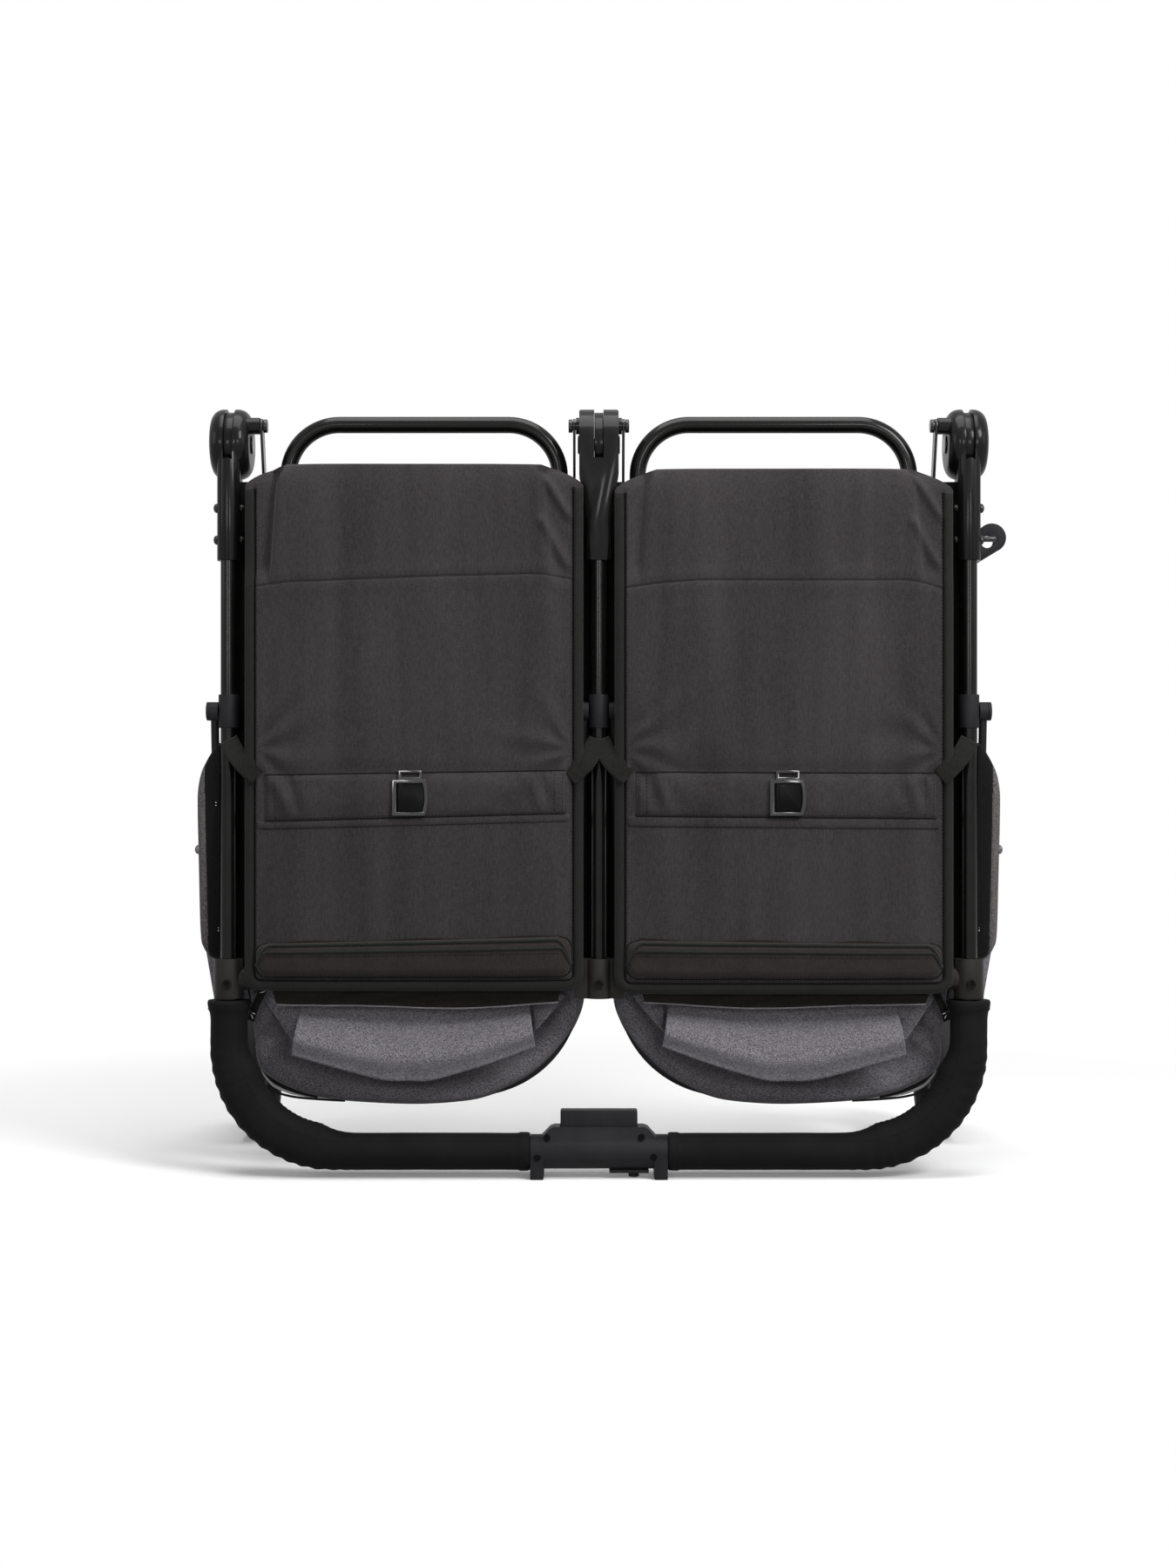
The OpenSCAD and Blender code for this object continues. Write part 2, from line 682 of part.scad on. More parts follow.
module canopy_collars() color(matt_black) {
  for (x = legs_x) translate([x, push_y, collar_z - collar_h / 2]) linear_extrude(collar_h) difference() {
    oval(tube_w + 2 * collar_wall, tube_d + 2 * collar_wall);
    tube_bore();
  }
  for (c = collar_sides) {
    tip = c[0] + c[1] * (collar_out + eye_w + 2 * face_play);
    x_rod(c[0] + c[1] * (collar_out - collar_wall / 2), tip, eye_pin_r, push_y, collar_z);
    x_rod(tip, tip + c[1] * 3, eye_r, push_y, collar_z);
  }
}

module corner_bracket(s) difference() {
  union() {
    translate([s * outer_x, push_y, bracket_z0]) linear_extrude(bracket_h) oval(bracket_w, bracket_d);
    x_rod(s * (outer_x - bracket_w / 4), s * (outer_x - bracket_w / 2 - cross_boss_l), cross_d / 2 + 4,
      push_y, cross_z);
  }
  translate([s * outer_x, push_y, push_low_z]) linear_extrude(bracket_h) tube_bore();
  translate([s * outer_x, push_y, bracket_z0 - 1])
    cylinder(d = handle_d, h = bracket_h / 2 - cross_d / 2 + 1);
  x_rod(s * (outer_x - bracket_w / 2), s * (outer_x - bracket_w), cross_d / 2, push_y, cross_z);
}

module center_tee() difference() {
  translate([0, push_y, bracket_z0]) linear_extrude(bracket_h) {
    square([tee_w, bracket_d - 14], center = true);
    oval(bracket_w - 4, bracket_d);
  }
  translate([0, push_y, push_low_z]) linear_extrude(bracket_h) tube_bore();
  x_rod(-tee_w, tee_w, cross_d / 2, push_y, cross_z);
}

module handle_brackets() color(matt_black) {
  for (s = [-1, 1]) corner_bracket(s);
  center_tee();
}

module push_cross_tube() color(gloss_black) {
  reach = outer_x - bracket_w / 2;
  along_x(-reach, reach) translate([push_y, cross_z]) ring_section(cross_d, tube_wall);
}

handle_top_z = cross_z - cross_d / 2;
handle_path = [[-outer_x, handle_top_z], [-outer_x, handle_z], [outer_x, handle_z], [outer_x, handle_top_z]];

module handle_tube() color(gloss_black) translate([0, push_y, 0]) rotate([90, 0, 0])
  bent_tube(handle_path, [0, handle_bend, handle_bend, 0], handle_d, tube_wall);

module handle_sleeve(s) color(matt_black) translate([0, push_y, 0]) rotate([90, 0, 0])
  bent_tube([[s * module_l / 2, handle_z], [s * outer_x, handle_z], [s * outer_x, sleeve_top_z]],
    [0, handle_bend, 0], sleeve_d, (sleeve_d - handle_d) / 2);

module handle_sleeve_left() handle_sleeve(-1);
module handle_sleeve_right() handle_sleeve(1);

module housing_foot(s) {
  x = s * (module_l - foot_w) / 2;
  along_y(push_y - foot_d / 2, push_y + foot_d / 2)
    polygon([[x - foot_w / 2, 1], [x - foot_w / 2 + 1, 0], [x + foot_w / 2 - 1, 0], [x + foot_w / 2, 1],
      [x + foot_w / 2, handle_z], [x - foot_w / 2, handle_z]]);
}

module housing_hump() {
  base = module_l / 2 - hump_base / 2;
  along_y(push_y - hump_d / 2, push_y + hump_d / 2)
    polygon([[-base, handle_z], [base, handle_z], [base, hump_low], [base - hump_run + 2, hump_top - 1.5],
      [base - hump_run - 2, hump_top], [-base + hump_run + 2, hump_top],
      [-base + hump_run - 2, hump_top - 1.5], [-base, hump_low]]);
}

module fold_housing() color(matt_black) difference() {
  union() {
    x_rod(-module_l / 2, module_l / 2, body_r, push_y, handle_z);
    housing_hump();
    for (s = [-1, 1]) housing_foot(s);
  }
  x_rod(-module_l, module_l, handle_d / 2, push_y, handle_z);
  translate([-trigger_l / 2 - face_play, push_y - trigger_w / 2 - face_play,
    hump_top - trigger_sink - trigger_travel - face_play])
    cube([trigger_l + 2 * face_play, trigger_w + 2 * face_play, hump_top]);
  translate([slider_x0 - slider_travel - face_play, push_y - slider_neck / 2 - face_play, body_low - 1])
    cube([slider_l + slider_travel + 2 * face_play, slider_neck + 2 * face_play, slider_h + 1]);
}

module fold_trigger() color(matt_black)
  translate([-trigger_l / 2, push_y - trigger_w / 2, hump_top - trigger_sink])
  cube([trigger_l, trigger_w, trigger_rise + trigger_sink]);

module lock_slider() color(matt_black) {
  top = body_low - face_play;
  translate([slider_x0, push_y - slider_neck / 2, top - 1]) cube([slider_l, slider_neck, slider_h + 1]);
  translate([slider_x0, push_y - slider_w / 2, top - slider_plate]) cube([slider_l, slider_w, slider_plate]);
  translate([slider_x0 + slider_l * 0.62, push_y, 1]) cylinder(r = 5, h = top - slider_plate);
}

// Soft seat backs. u runs across, v runs up; the crown faces the camera side

function back_half(z) = back_w / 2 - corner_in * ease((z - flap_top_z + corner_up) / corner_up)
  - 5 * ease((back_low_z + 12 - z) / 12);
function back_crown(a, z0, z1, z) = let (b = (2 * z - z0 - z1) / (z1 - z0))
  (1 - pow(abs(a), 5)) * (1 - 0.55 * pow(abs(b), 10));
function back_rear(z) = 1 - 0.13 * groove(z, buckle_z + 23, 4) - 0.1 * groove(z, buckle_z - 23, 5)
  - 0.16 * groove(z, back_low_z + 54, 4) - 0.16 * groove(z, back_low_z + 15, 4);

module back_pad(s, z0, z1, nu, nv) {
  front = function (u, v) let (z = lerp(z0, z1, v), a = 2 * u - 1,
    deep = back_edge + (back_t - back_edge) * back_crown(a, z0, z1, z) * back_rear(z))
    [s * back_mid + a * back_half(z), back_y - deep, z];
  back = function (u, v) let (z = lerp(z0, z1, v), a = 2 * u - 1)
    [s * back_mid + a * back_half(z), back_y - 2.5 * pow(abs(a), 6), z];
  color(cloth_dark) two_skin(nu, nv, front, back);
}

module backrest_left() back_pad(-1, back_low_z, back_fold_z - seam_play, 12, 30);
module backrest_right() back_pad(1, back_low_z, back_fold_z - seam_play, 12, 30);
module seat_flap_left() back_pad(-1, back_fold_z, flap_top_z, 12, 8);
module seat_flap_right() back_pad(1, back_fold_z, flap_top_z, 12, 8);

// Webbing from the side of a seat back to the push tube beside it
strap_w = 19;
strap_t = 1.6;
strap_low_z = buckle_z + 20;
strap_rise = 35;
strap_seat = 13.7;

module recline_strap(x_edge, x_tube) {
  dir = sign(x_tube - x_edge);
  turn_x = x_edge + dir * 2.5;
  turn_y = back_y - back_edge - 1;
  path = function (u) u < 0.5
    ? [lerp(x_edge - dir * 14, turn_x, 2 * u), lerp(back_y - strap_seat, turn_y, 2 * u)]
    : [lerp(turn_x, x_tube - dir, 2 * u - 1), lerp(turn_y, push_y - tube_d / 2 - 0.1, 2 * u - 1)];
  side = function (u) dir > 0 ? u : 1 - u;
  skin = function (u, v, t) let (p = path(side(u)))
    [p.x, p.y - t, strap_low_z + strap_rise * side(u) + strap_w * (v - 0.5)];
  two_skin(4, 2, function (u, v) skin(u, v, strap_t + face_play), function (u, v) skin(u, v, face_play));
}

module recline_straps(s) color(cloth_dark) {
  recline_strap(s * (back_in + back_w), s * outer_x);
  recline_strap(s * back_in, 0);
}
module recline_straps_left() recline_straps(-1);
module recline_straps_right() recline_straps(1);

// Buckle frame seen from behind: a straight bar on one side and a bowed one on the other
module buckle_outline(inset, bar) intersection() {
  translate([-buckle_w / 2 + bar, -buckle_l / 2 + inset]) square([buckle_w, buckle_l - 2 * inset]);
  translate([buckle_w / 2 - buckle_bow_r, 0]) circle(buckle_bow_r - inset);
}

module recline_buckle(s) color(gloss_black) translate([s * buckle_x, buckle_y, buckle_z]) {
  along_y(0, -buckle_t) difference() {
    buckle_outline(0, 0);
    buckle_outline(buckle_rim, buckle_bar);
  }
  along_y(0, -buckle_t / 2) translate([0, buckle_l / 2]) difference() {
    translate([-keeper_w / 2, -1]) square([keeper_w, keeper_h + 1]);
    translate([-keeper_w / 2 + keeper_rim, keeper_rim])
      square([keeper_w - 2 * keeper_rim, keeper_h - 2 * keeper_rim]);
  }
  translate([lever_x, -buckle_t / 2, -buckle_l / 2 + 1]) cylinder(r = lever_pin_r, h = buckle_l - 2);
}
module recline_buckle_left() recline_buckle(-1);
module recline_buckle_right() recline_buckle(1);

module buckle_lever(s) color(gloss_black) translate([s * buckle_x, buckle_y, buckle_z]) difference() {
  lever_w = buckle_l - 2 * (buckle_rim + face_play);
  union() {
    translate([lever_x, -buckle_t / 2, -lever_w / 2]) cylinder(r = lever_eye_r, h = lever_w);
    along_y(-buckle_t / 2 + lever_t / 2, -buckle_t / 2 - lever_t / 2)
      buckle_outline(buckle_rim + face_play, buckle_w / 2 + lever_x);
  }
  translate([lever_x, -buckle_t / 2, -lever_w]) cylinder(r = lever_pin_r + pin_fit, h = 2 * lever_w);
}
module buckle_lever_left() buckle_lever(-1);
module buckle_lever_right() buckle_lever(1);

// Seats

module seat_hoop(s) color(gloss_black) difference() {
  mid = s * (hoop_xo + hoop_xi) / 2;
  half = (hoop_xo - hoop_xi) / 2;
  translate([mid, hoop_y, 0]) rotate([90, 0, 0])
    bent_tube([[0, hoop_z0], [half, hoop_z0], [half, hoop_z1], [-half, hoop_z1], [-half, hoop_z0],
      [0, hoop_z0]],
      [0, hoop_bend, hoop_bend, hoop_bend, hoop_bend, 0], hoop_d, tube_wall);
  x_rod(s * (hoop_xo + hoop_d), s * hoop_xo, hanger_foot_r, hanger_foot.x, hanger_foot.y);
  x_rod(s * (hoop_xi - hoop_d), s * hoop_xi, hanger_foot_r, hanger_foot.x, hanger_foot.y);
}
module seat_hoop_left() seat_hoop(-1);
module seat_hoop_right() seat_hoop(1);

module seat_hanger(b, foot_x) {
  difference() {
    along_x(hanger_x0(b), hanger_x1(b)) strap_outline([hang_y, hang_z], hanger_foot, hanger_r);
    x_rod(hanger_x0(b) - 1, hanger_x0(b) + 1 + b[1] * hanger_t, hang_r + pin_fit, hang_y, hang_z);
    x_rod(hanger_x1(b) - 1, hanger_x1(b) + 1 - b[1] * hanger_t, hang_r + pin_fit, hang_y, hang_z);
  }
  x_rod(hanger_x1(b), foot_x, hanger_foot_r, hanger_foot.x, hanger_foot.y);
}

module seat_hangers() color(steel_grey) {
  seat_hanger(hang_bosses[0], -hoop_xo);
  seat_hanger(hang_bosses[1], -hoop_xi);
  seat_hanger(hang_bosses[2], hoop_xi);
  seat_hanger(hang_bosses[3], hoop_xo);
}

finger_gap = 36;
cushion_top_z = hoop_z1 - hoop_d / 2 - finger_gap;
function cushion_deep(u, v) = let (a = 2 * u - 1, b = 2 * v - 1)
  (0.45 + 0.55 * (1 - pow(abs(a), 4)) * (1 - pow(abs(b), 6)))
  * (1 - 0.18 * groove(v, 0.36, 0.05) - 0.18 * groove(v, 0.68, 0.05));

module seat_cushion(s) {
  x0 = hoop_xi + hoop_d / 2 + 0.5;
  x1 = hoop_xo - hoop_d / 2 - 0.5;
  z0 = hoop_z0 + hoop_d / 2 + 0.5;
  half = (x1 - x0) / 2;
  bend = hoop_bend - hoop_d / 2;
  inset = function (d) d >= bend ? 0 : bend - sqrt(bend * bend - pow(bend - max(d, 0), 2));
  at = function (u, v, y) let (z = lerp(z0, cushion_top_z, pow(v, 1.4)),
    pull = inset(z - z0) + inset(hoop_z1 - hoop_d / 2 - 0.5 - z))
    [s * (x0 + x1) / 2 + (2 * u - 1) * (half - pull), y, z];
  color(cloth_dark) two_skin(12, 14, function (u, v) at(u, v, hoop_y - cushion_t / 2 * cushion_deep(u, v)),
    function (u, v) at(u, v, hoop_y + cushion_t / 2 * cushion_deep(u, v)));
}
module seat_cushion_left() seat_cushion(-1);
module seat_cushion_right() seat_cushion(1);

// Canopies, drawn in the leaning plane of the bow: x across, -s down from the pivot, +h to the camera side

module in_canopy() translate([0, push_y, collar_z]) rotate([90 + canopy_lean, 0, 0]) children();

eye_xo = outer_x + collar_out + face_play + eye_w / 2;
eye_xi = collar_out + face_play + eye_w / 2;
bow_start = eye_r - 2;
bow_knee = 140;
bow_foot_o = outer_x - 38;
bow_foot_i = 24;

module canopy_bow(s) color(matt_black) {
  in_canopy() bent_tube([[s * eye_xo, -bow_start], [s * eye_xo, -bow_knee], [s * bow_foot_o, -bow_l],
    [s * bow_foot_i, -bow_l], [s * eye_xi, -bow_start]], [0, 80, 95, 105, 0], bow_d, 0);
  for (x = [s * eye_xo, s * eye_xi]) difference() {
    x_rod(x - eye_w / 2, x + eye_w / 2, eye_r, push_y, collar_z);
    x_rod(x - eye_w, x + eye_w, eye_pin_r + pin_fit, push_y, collar_z);
  }
}
module canopy_bow_left() canopy_bow(-1);
module canopy_bow_right() canopy_bow(1);

// Edges of the bunched canopy cloth, from the outer pivot round the bow to the inner pivot:
// outer edge x and s, inner edge x and s, thickness
cover_rows = [
  [outer_x + 15, 14, outer_x + 9.5, 14, 5],
  [outer_x + 27, 60, outer_x + 9.5, 60, 9],
  [outer_x + 30.5, 130, outer_x + 9.5, 125, 11],
  [outer_x + 29, 195, outer_x + 5, 180, 8],
  [outer_x + 17, 250, outer_x - 20, 215, 4],
  [outer_x - 14, 300, outer_x - 46, 235, 4.5],
  [outer_x - 40, 348, outer_x - 72, 246, 12],
  [outer_x - 82, 374, outer_x - 104, 250, 18],
  [outer_x - 140, bow_l + 7, outer_x - 150, 252, 20],
  [outer_x - 210, bow_l + 7, outer_x - 200, 252, 20],
  [bow_foot_i + 66, 366, outer_x - 245, 250, 18],
  [bow_foot_i + 22, 330, outer_x - 285, 240, 12],
  [bow_foot_i + 1, 280, outer_x - 315, 215, 6],
  [bow_foot_i - 5, 220, outer_x - 330, 180, 4],
  [bow_foot_i - 7, 150, bow_foot_i + 2, 140, 4]];
function smooth(p0, p1, p2, p3, t) = 0.5 * (2 * p1 + (p2 - p0) * t + (2 * p0 - 5 * p1 + 4 * p2 - p3) * t * t
  + (3 * p1 - p0 - 3 * p2 + p3) * t * t * t);
function cover_row(u) = let (n = len(cover_rows) - 1, f = u * n, i = min(n - 1, floor(f)))
  smooth(cover_rows[max(0, i - 1)], cover_rows[i], cover_rows[i + 1], cover_rows[min(n, i + 2)], f - i);
cover_back = bow_d / 2 + 0.5;
function cover_fold(u, v) = let (low = ease((u - 0.36) / 0.12) * ease((0.84 - u) / 0.12))
  (0.3 + 0.7 * pow(sin(180 * (0.06 + 0.88 * v)), 0.5)) * (1 + low * (0.2 * cos(720 * v) - 0.2))
  + 0.35 * low * ease((0.62 - v) / 0.05) * ease((u - 0.42) / 0.05) * ease((0.76 - u) / 0.05);

module canopy_cover(s) {
  skin = function (u, v, h) let (row = cover_row(s < 0 ? u : 1 - u))
    [s * lerp(row[2], row[0], v), -lerp(row[3], row[1], v), h];
  deep = function (u, v) let (t = s < 0 ? u : 1 - u) cover_row(t)[4] * cover_fold(t, v);
  color(cloth_grey) in_canopy() mirror([0, 0, 1]) two_skin(36, 9,
    function (u, v) skin(u, v, -cover_back - deep(u, v)), function (u, v) skin(u, v, -cover_back));
}
module canopy_cover_left() canopy_cover(-1);
module canopy_cover_right() canopy_cover(1);

leg_heads();
front_leg_left();
front_leg_center();
front_leg_right();
foot_bar();
castor_housings();
castor_fork_left();
castor_fork_center();
castor_fork_right();
front_hub_left();
front_hub_center();
front_hub_right();
front_tyre_left();
front_tyre_center();
front_tyre_right();
rear_leg_left();
rear_leg_right();
rear_cross_tube();
rear_housings();
rear_axles();
rear_hub_left();
rear_hub_right();
rear_tyre_left();
rear_tyre_right();
brake_pedal();
transport_latch();
knuckles();
hinge_pins();
push_tube_left();
push_tube_center();
push_tube_right();
canopy_collars();
handle_brackets();
push_cross_tube();
handle_tube();
handle_sleeve_left();
handle_sleeve_right();
fold_housing();
fold_trigger();
lock_slider();
seat_flap_left();
seat_flap_right();
seat_hoop_left();
seat_hoop_right();
seat_hangers();
seat_cushion_left();
seat_cushion_right();
backrest_left();
backrest_right();
recline_straps_left();
recline_straps_right();
recline_buckle_left();
recline_buckle_right();
buckle_lever_left();
buckle_lever_right();
canopy_bow_left();
canopy_bow_right();
canopy_cover_left();
canopy_cover_right();
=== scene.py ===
import bpy
import bmesh
import json
import math
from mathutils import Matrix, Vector, noise

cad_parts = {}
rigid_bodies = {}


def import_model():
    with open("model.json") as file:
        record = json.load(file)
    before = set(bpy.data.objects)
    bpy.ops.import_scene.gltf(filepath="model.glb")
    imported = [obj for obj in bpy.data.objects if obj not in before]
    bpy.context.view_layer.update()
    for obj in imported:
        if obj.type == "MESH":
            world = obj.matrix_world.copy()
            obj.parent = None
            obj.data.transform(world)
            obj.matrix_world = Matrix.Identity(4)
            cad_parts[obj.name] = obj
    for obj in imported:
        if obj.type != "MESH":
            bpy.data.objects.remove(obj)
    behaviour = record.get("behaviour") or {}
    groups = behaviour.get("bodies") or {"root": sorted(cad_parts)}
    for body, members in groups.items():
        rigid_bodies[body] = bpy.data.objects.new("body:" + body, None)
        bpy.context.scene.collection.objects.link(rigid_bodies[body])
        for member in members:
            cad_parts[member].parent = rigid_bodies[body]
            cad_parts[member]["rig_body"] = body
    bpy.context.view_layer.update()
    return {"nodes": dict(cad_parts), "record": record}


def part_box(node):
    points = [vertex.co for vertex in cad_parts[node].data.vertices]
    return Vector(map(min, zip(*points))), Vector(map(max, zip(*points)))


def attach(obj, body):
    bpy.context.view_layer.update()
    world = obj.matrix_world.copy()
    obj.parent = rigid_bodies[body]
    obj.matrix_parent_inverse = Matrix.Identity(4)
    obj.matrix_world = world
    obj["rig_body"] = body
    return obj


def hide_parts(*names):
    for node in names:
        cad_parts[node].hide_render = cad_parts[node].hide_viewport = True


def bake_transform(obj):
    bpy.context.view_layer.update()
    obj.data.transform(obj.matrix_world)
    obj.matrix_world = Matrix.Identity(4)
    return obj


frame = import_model()
bodyOf = {n: o["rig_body"] for n, o in frame["nodes"].items()}
print("frame loaded:", len(frame["nodes"]), "nodes")

# camera, level and square to the seat backs, as in the photograph
shot = {"x": -0.0105, "y": -2.352, "z": 0.379, "lens": 52.4}
camera = bpy.data.objects.new("shotCamera", bpy.data.cameras.new("shotCamera"))
camera.location = (shot["x"], shot["y"], shot["z"])
camera.rotation_euler = (math.radians(90), 0, 0)
camera.data.lens = shot["lens"]
camera.data.sensor_width = 36
bpy.context.scene.collection.objects.link(camera)
bpy.context.scene.camera = camera
bpy.context.scene.view_settings.view_transform = "Standard"


# small helpers
def clamp(t, low=0.0, high=1.0):
    return max(low, min(high, t))


def ease(t):
    t = clamp(t)
    return t * t * (3 - 2 * t)


def lerp(a, b, t):
    return a + (b - a) * t


def bump(d, wide):
    return math.exp(-(d / wide) ** 2)


def wander(x, y, z, seed=0.0):
    return noise.noise(Vector((x + seed * 3.7, y - seed * 1.3, z + seed * 2.1)))


def steps(n):
    return [i / n for i in range(n + 1)]


def alongPoints(pts, t):
    # smooth curve through points of any size, t from 0 to 1
    n = len(pts) - 1
    f = clamp(t) * n
    i = min(n - 1, int(f))
    f -= i
    near = pts[max(0, i - 1)], pts[i], pts[i + 1], pts[min(n, i + 2)]
    return [0.5 * (2 * b + (c - a) * f + (2 * a - 5 * b + 4 * c - d) * f * f
                   + (3 * b - a - 3 * c + d) * f ** 3) for a, b, c, d in zip(*near)]


def makeMesh(name, verts, faces, material, edges=(), smooth=True):
    mesh = bpy.data.meshes.new(name)
    mesh.from_pydata([tuple(v) for v in verts], list(edges), faces)
    mesh.polygons.foreach_set("use_smooth", [smooth] * len(mesh.polygons))
    if material:
        mesh.materials.append(material)
    mesh.update()
    obj = bpy.data.objects.new(name, mesh)
    bpy.context.scene.collection.objects.link(obj)
    return obj


def tidyNormals(obj, merge=1e-6):
    work = bmesh.new()
    work.from_mesh(obj.data)
    bmesh.ops.remove_doubles(work, verts=work.verts, dist=merge)
    bmesh.ops.recalc_face_normals(work, faces=work.faces)
    work.to_mesh(obj.data)
    work.free()
    return obj


def settle(obj):
    # turns live modifiers into plain mesh
    graph = bpy.context.evaluated_depsgraph_get()
    shape = obj.evaluated_get(graph)
    mesh = bpy.data.meshes.new_from_object(shape, preserve_all_data_layers=True, depsgraph=graph)
    obj.modifiers.clear()
    old = obj.data
    obj.data = mesh
    if old.users == 0:
        bpy.data.meshes.remove(old)
    return obj


def smoothFaces(obj):
    obj.data.polygons.foreach_set("use_smooth", [True] * len(obj.data.polygons))


def padFrom(name, nu, nv, front, back, material):
    # closed soft form between two skins, each a function of u and v
    verts, faces = [], []
    row = nu + 1
    count = row * (nv + 1)
    for skin in (front, back):
        for j in range(nv + 1):
            for i in range(row):
                verts.append(skin(i / nu, j / nv))
    for j in range(nv):
        for i in range(nu):
            a = j * row + i
            faces.append((a, a + 1, a + row + 1, a + row))
            faces.append((count + a, count + a + row, count + a + row + 1, count + a + 1))
    for i in range(nu):
        a, b = i, nv * row + i
        faces.append((a + 1, a, count + a, count + a + 1))
        faces.append((b, b + 1, count + b + 1, count + b))
    for j in range(nv):
        a, b = j * row, j * row + nu
        faces.append((a, a + row, count + a + row, count + a))
        faces.append((b + row, b, count + b, count + b + row))
    return tidyNormals(makeMesh(name, verts, faces, material))


def frames(path, closed=False, up=None):
    # tangent and two side directions at each point, turned as little as possible
    pts = [Vector(p) for p in path]
    n = len(pts)
    out, side = [], None
    for i in range(n):
        a = pts[(i - 1) % n] if closed or i else pts[0]
        b = pts[(i + 1) % n] if closed or i < n - 1 else pts[-1]
        t = (b - a).normalized()
        if up is not None:
            side = up(i / max(1, n - 1)) if callable(up) else Vector(up)
        elif side is None:
            side = Vector((0, 0, 1)) if abs(t.z) < 0.9 else Vector((0, 1, 0))
        side = (side - t * side.dot(t)).normalized()
        out.append((pts[i], t, side, t.cross(side)))
    return out


def sweep(name, path, section, material, closed=False, up=None, scale=None):
    # section: closed list of (side, cross) offsets in metres
    rows = frames(path, closed, up)
    verts, faces = [], []
    k, n = len(section), len(rows)
    for i, (p, t, a, b) in enumerate(rows):
        for j, (q, r) in enumerate(section):
            m = scale(i / (n - 1), j / k) if scale else 1.0
            verts.append(p + a * (q * m) + b * (r * m))
    for i in range(n if closed else n - 1):
        for j in range(k):
            a, b = i * k + j, i * k + (j + 1) % k
            c, d = ((i + 1) % n) * k + j, ((i + 1) % n) * k + (j + 1) % k
            faces.append((a, b, d, c))
    if not closed:
        faces.append(tuple(range(k - 1, -1, -1)))
        faces.append(tuple((n - 1) * k + j for j in range(k)))
    return tidyNormals(makeMesh(name, verts, faces, material))


def roundSection(r, k=10):
    return [(r * math.cos(2 * math.pi * j / k), r * math.sin(2 * math.pi * j / k)) for j in range(k)]


def tapeSection(wide, thick, k=4):
    # flat band with rounded edges
    r, out = thick / 2, []
    for cx, a0 in ((wide / 2 - r, -90), (-wide / 2 + r, 90)):
        for j in range(k + 1):
            a = math.radians(a0 + 180 * j / k)
            out.append((cx + r * math.cos(a), r * math.sin(a)))
    return out


def joinPieces(name, objs):
    bpy.ops.object.select_all(action="DESELECT")
    for o in objs:
        o.select_set(True)
    bpy.context.view_layer.objects.active = objs[0]
    bpy.ops.object.join()
    objs[0].name = name
    objs[0].data.name = name
    return objs[0]


# helpers for node trees
def setInputs(tree, node, inputs):
    # a socket is linked, and anything else is set
    for label, value in inputs.items():
        if isinstance(value, bpy.types.NodeSocket):
            tree.links.new(value, node.inputs[label])
        else:
            node.inputs[label].default_value = value
    return node


def addNode(tree, kind, inputs, **settings):
    node = tree.nodes.new(kind)
    for label, value in settings.items():
        setattr(node, label, value)
    return setInputs(tree, node, inputs)


def nodeGroup(name, kind, inputs, outputs):
    tree = bpy.data.node_groups.new(name, kind)
    for way, sockets in (("INPUT", inputs), ("OUTPUT", outputs)):
        for label, socket in sockets.items():
            tree.interface.new_socket(name=label, in_out=way, socket_type="NodeSocket" + socket)
    return tree, tree.nodes.new("NodeGroupInput").outputs, tree.nodes.new("NodeGroupOutput").inputs


def mathNode(tree, op, *values, clampIt=False):
    node = addNode(tree, "ShaderNodeMath", dict(enumerate(values)), operation=op, use_clamp=clampIt)
    return node.outputs[0]


def vectorOf(tree, *parts):
    return addNode(tree, "ShaderNodeCombineXYZ", dict(enumerate(parts))).outputs[0]


def noiseOf(tree, vector, scale=1.0, detail=1.0, rough=0.5):
    values = {"Vector": vector, "Scale": scale, "Detail": detail, "Roughness": rough}
    return addNode(tree, "ShaderNodeTexNoise", values).outputs["Fac"]


def stretchedNoise(tree, vector, stretch, detail=1.0):
    mapped = addNode(tree, "ShaderNodeMapping", {"Vector": vector, "Scale": stretch})
    return noiseOf(tree, mapped.outputs[0], 1.0, detail)


# shader groups used by several finishes: each takes a place on the piece and a fineness that scales it
def surfaceGroup(name, outputs):
    tree, given, made = nodeGroup(name, "ShaderNodeTree", {"Vector": "Vector", "Fine": "Float"},
                                  dict.fromkeys(outputs, "Float"))
    scaled = addNode(tree, "ShaderNodeVectorMath", {0: given["Vector"], "Scale": given["Fine"]},
                     operation="SCALE")
    return tree, scaled.outputs[0], made


def closeGroup(tree, made, *values):
    for socket, value in zip(made, values):
        tree.links.new(value, socket)
    return tree


heatherLook = {"warp": (1500, 1500, 330), "weft": (330, 600, 1500), "cloudAndWrinkleShade": 26.0, "contrast": (3.2, -2.7)}


def heatherGroup():
    # short light and dark yarn ends lying both ways
    tree, p, made = surfaceGroup("heatherYarn", ("Fleck", "Height", "ToneAndWrinkleShade"))
    warp = stretchedNoise(tree, p, heatherLook["warp"])
    weft = stretchedNoise(tree, p, heatherLook["weft"])
    both = mathNode(tree, "ADD", warp, weft)
    fleck = mathNode(tree, "MULTIPLY_ADD", both, *heatherLook["contrast"], clampIt=True)
    return closeGroup(tree, made, fleck, both, noiseOf(tree, p, heatherLook["cloudAndWrinkleShade"], 2.0))


weaveLook = {"warp": (1300, 1300, 170), "weft": (260, 500, 1300), "cloudAndWrinkleShade": (30, 14, 3.4), "warpShare": 0.62}


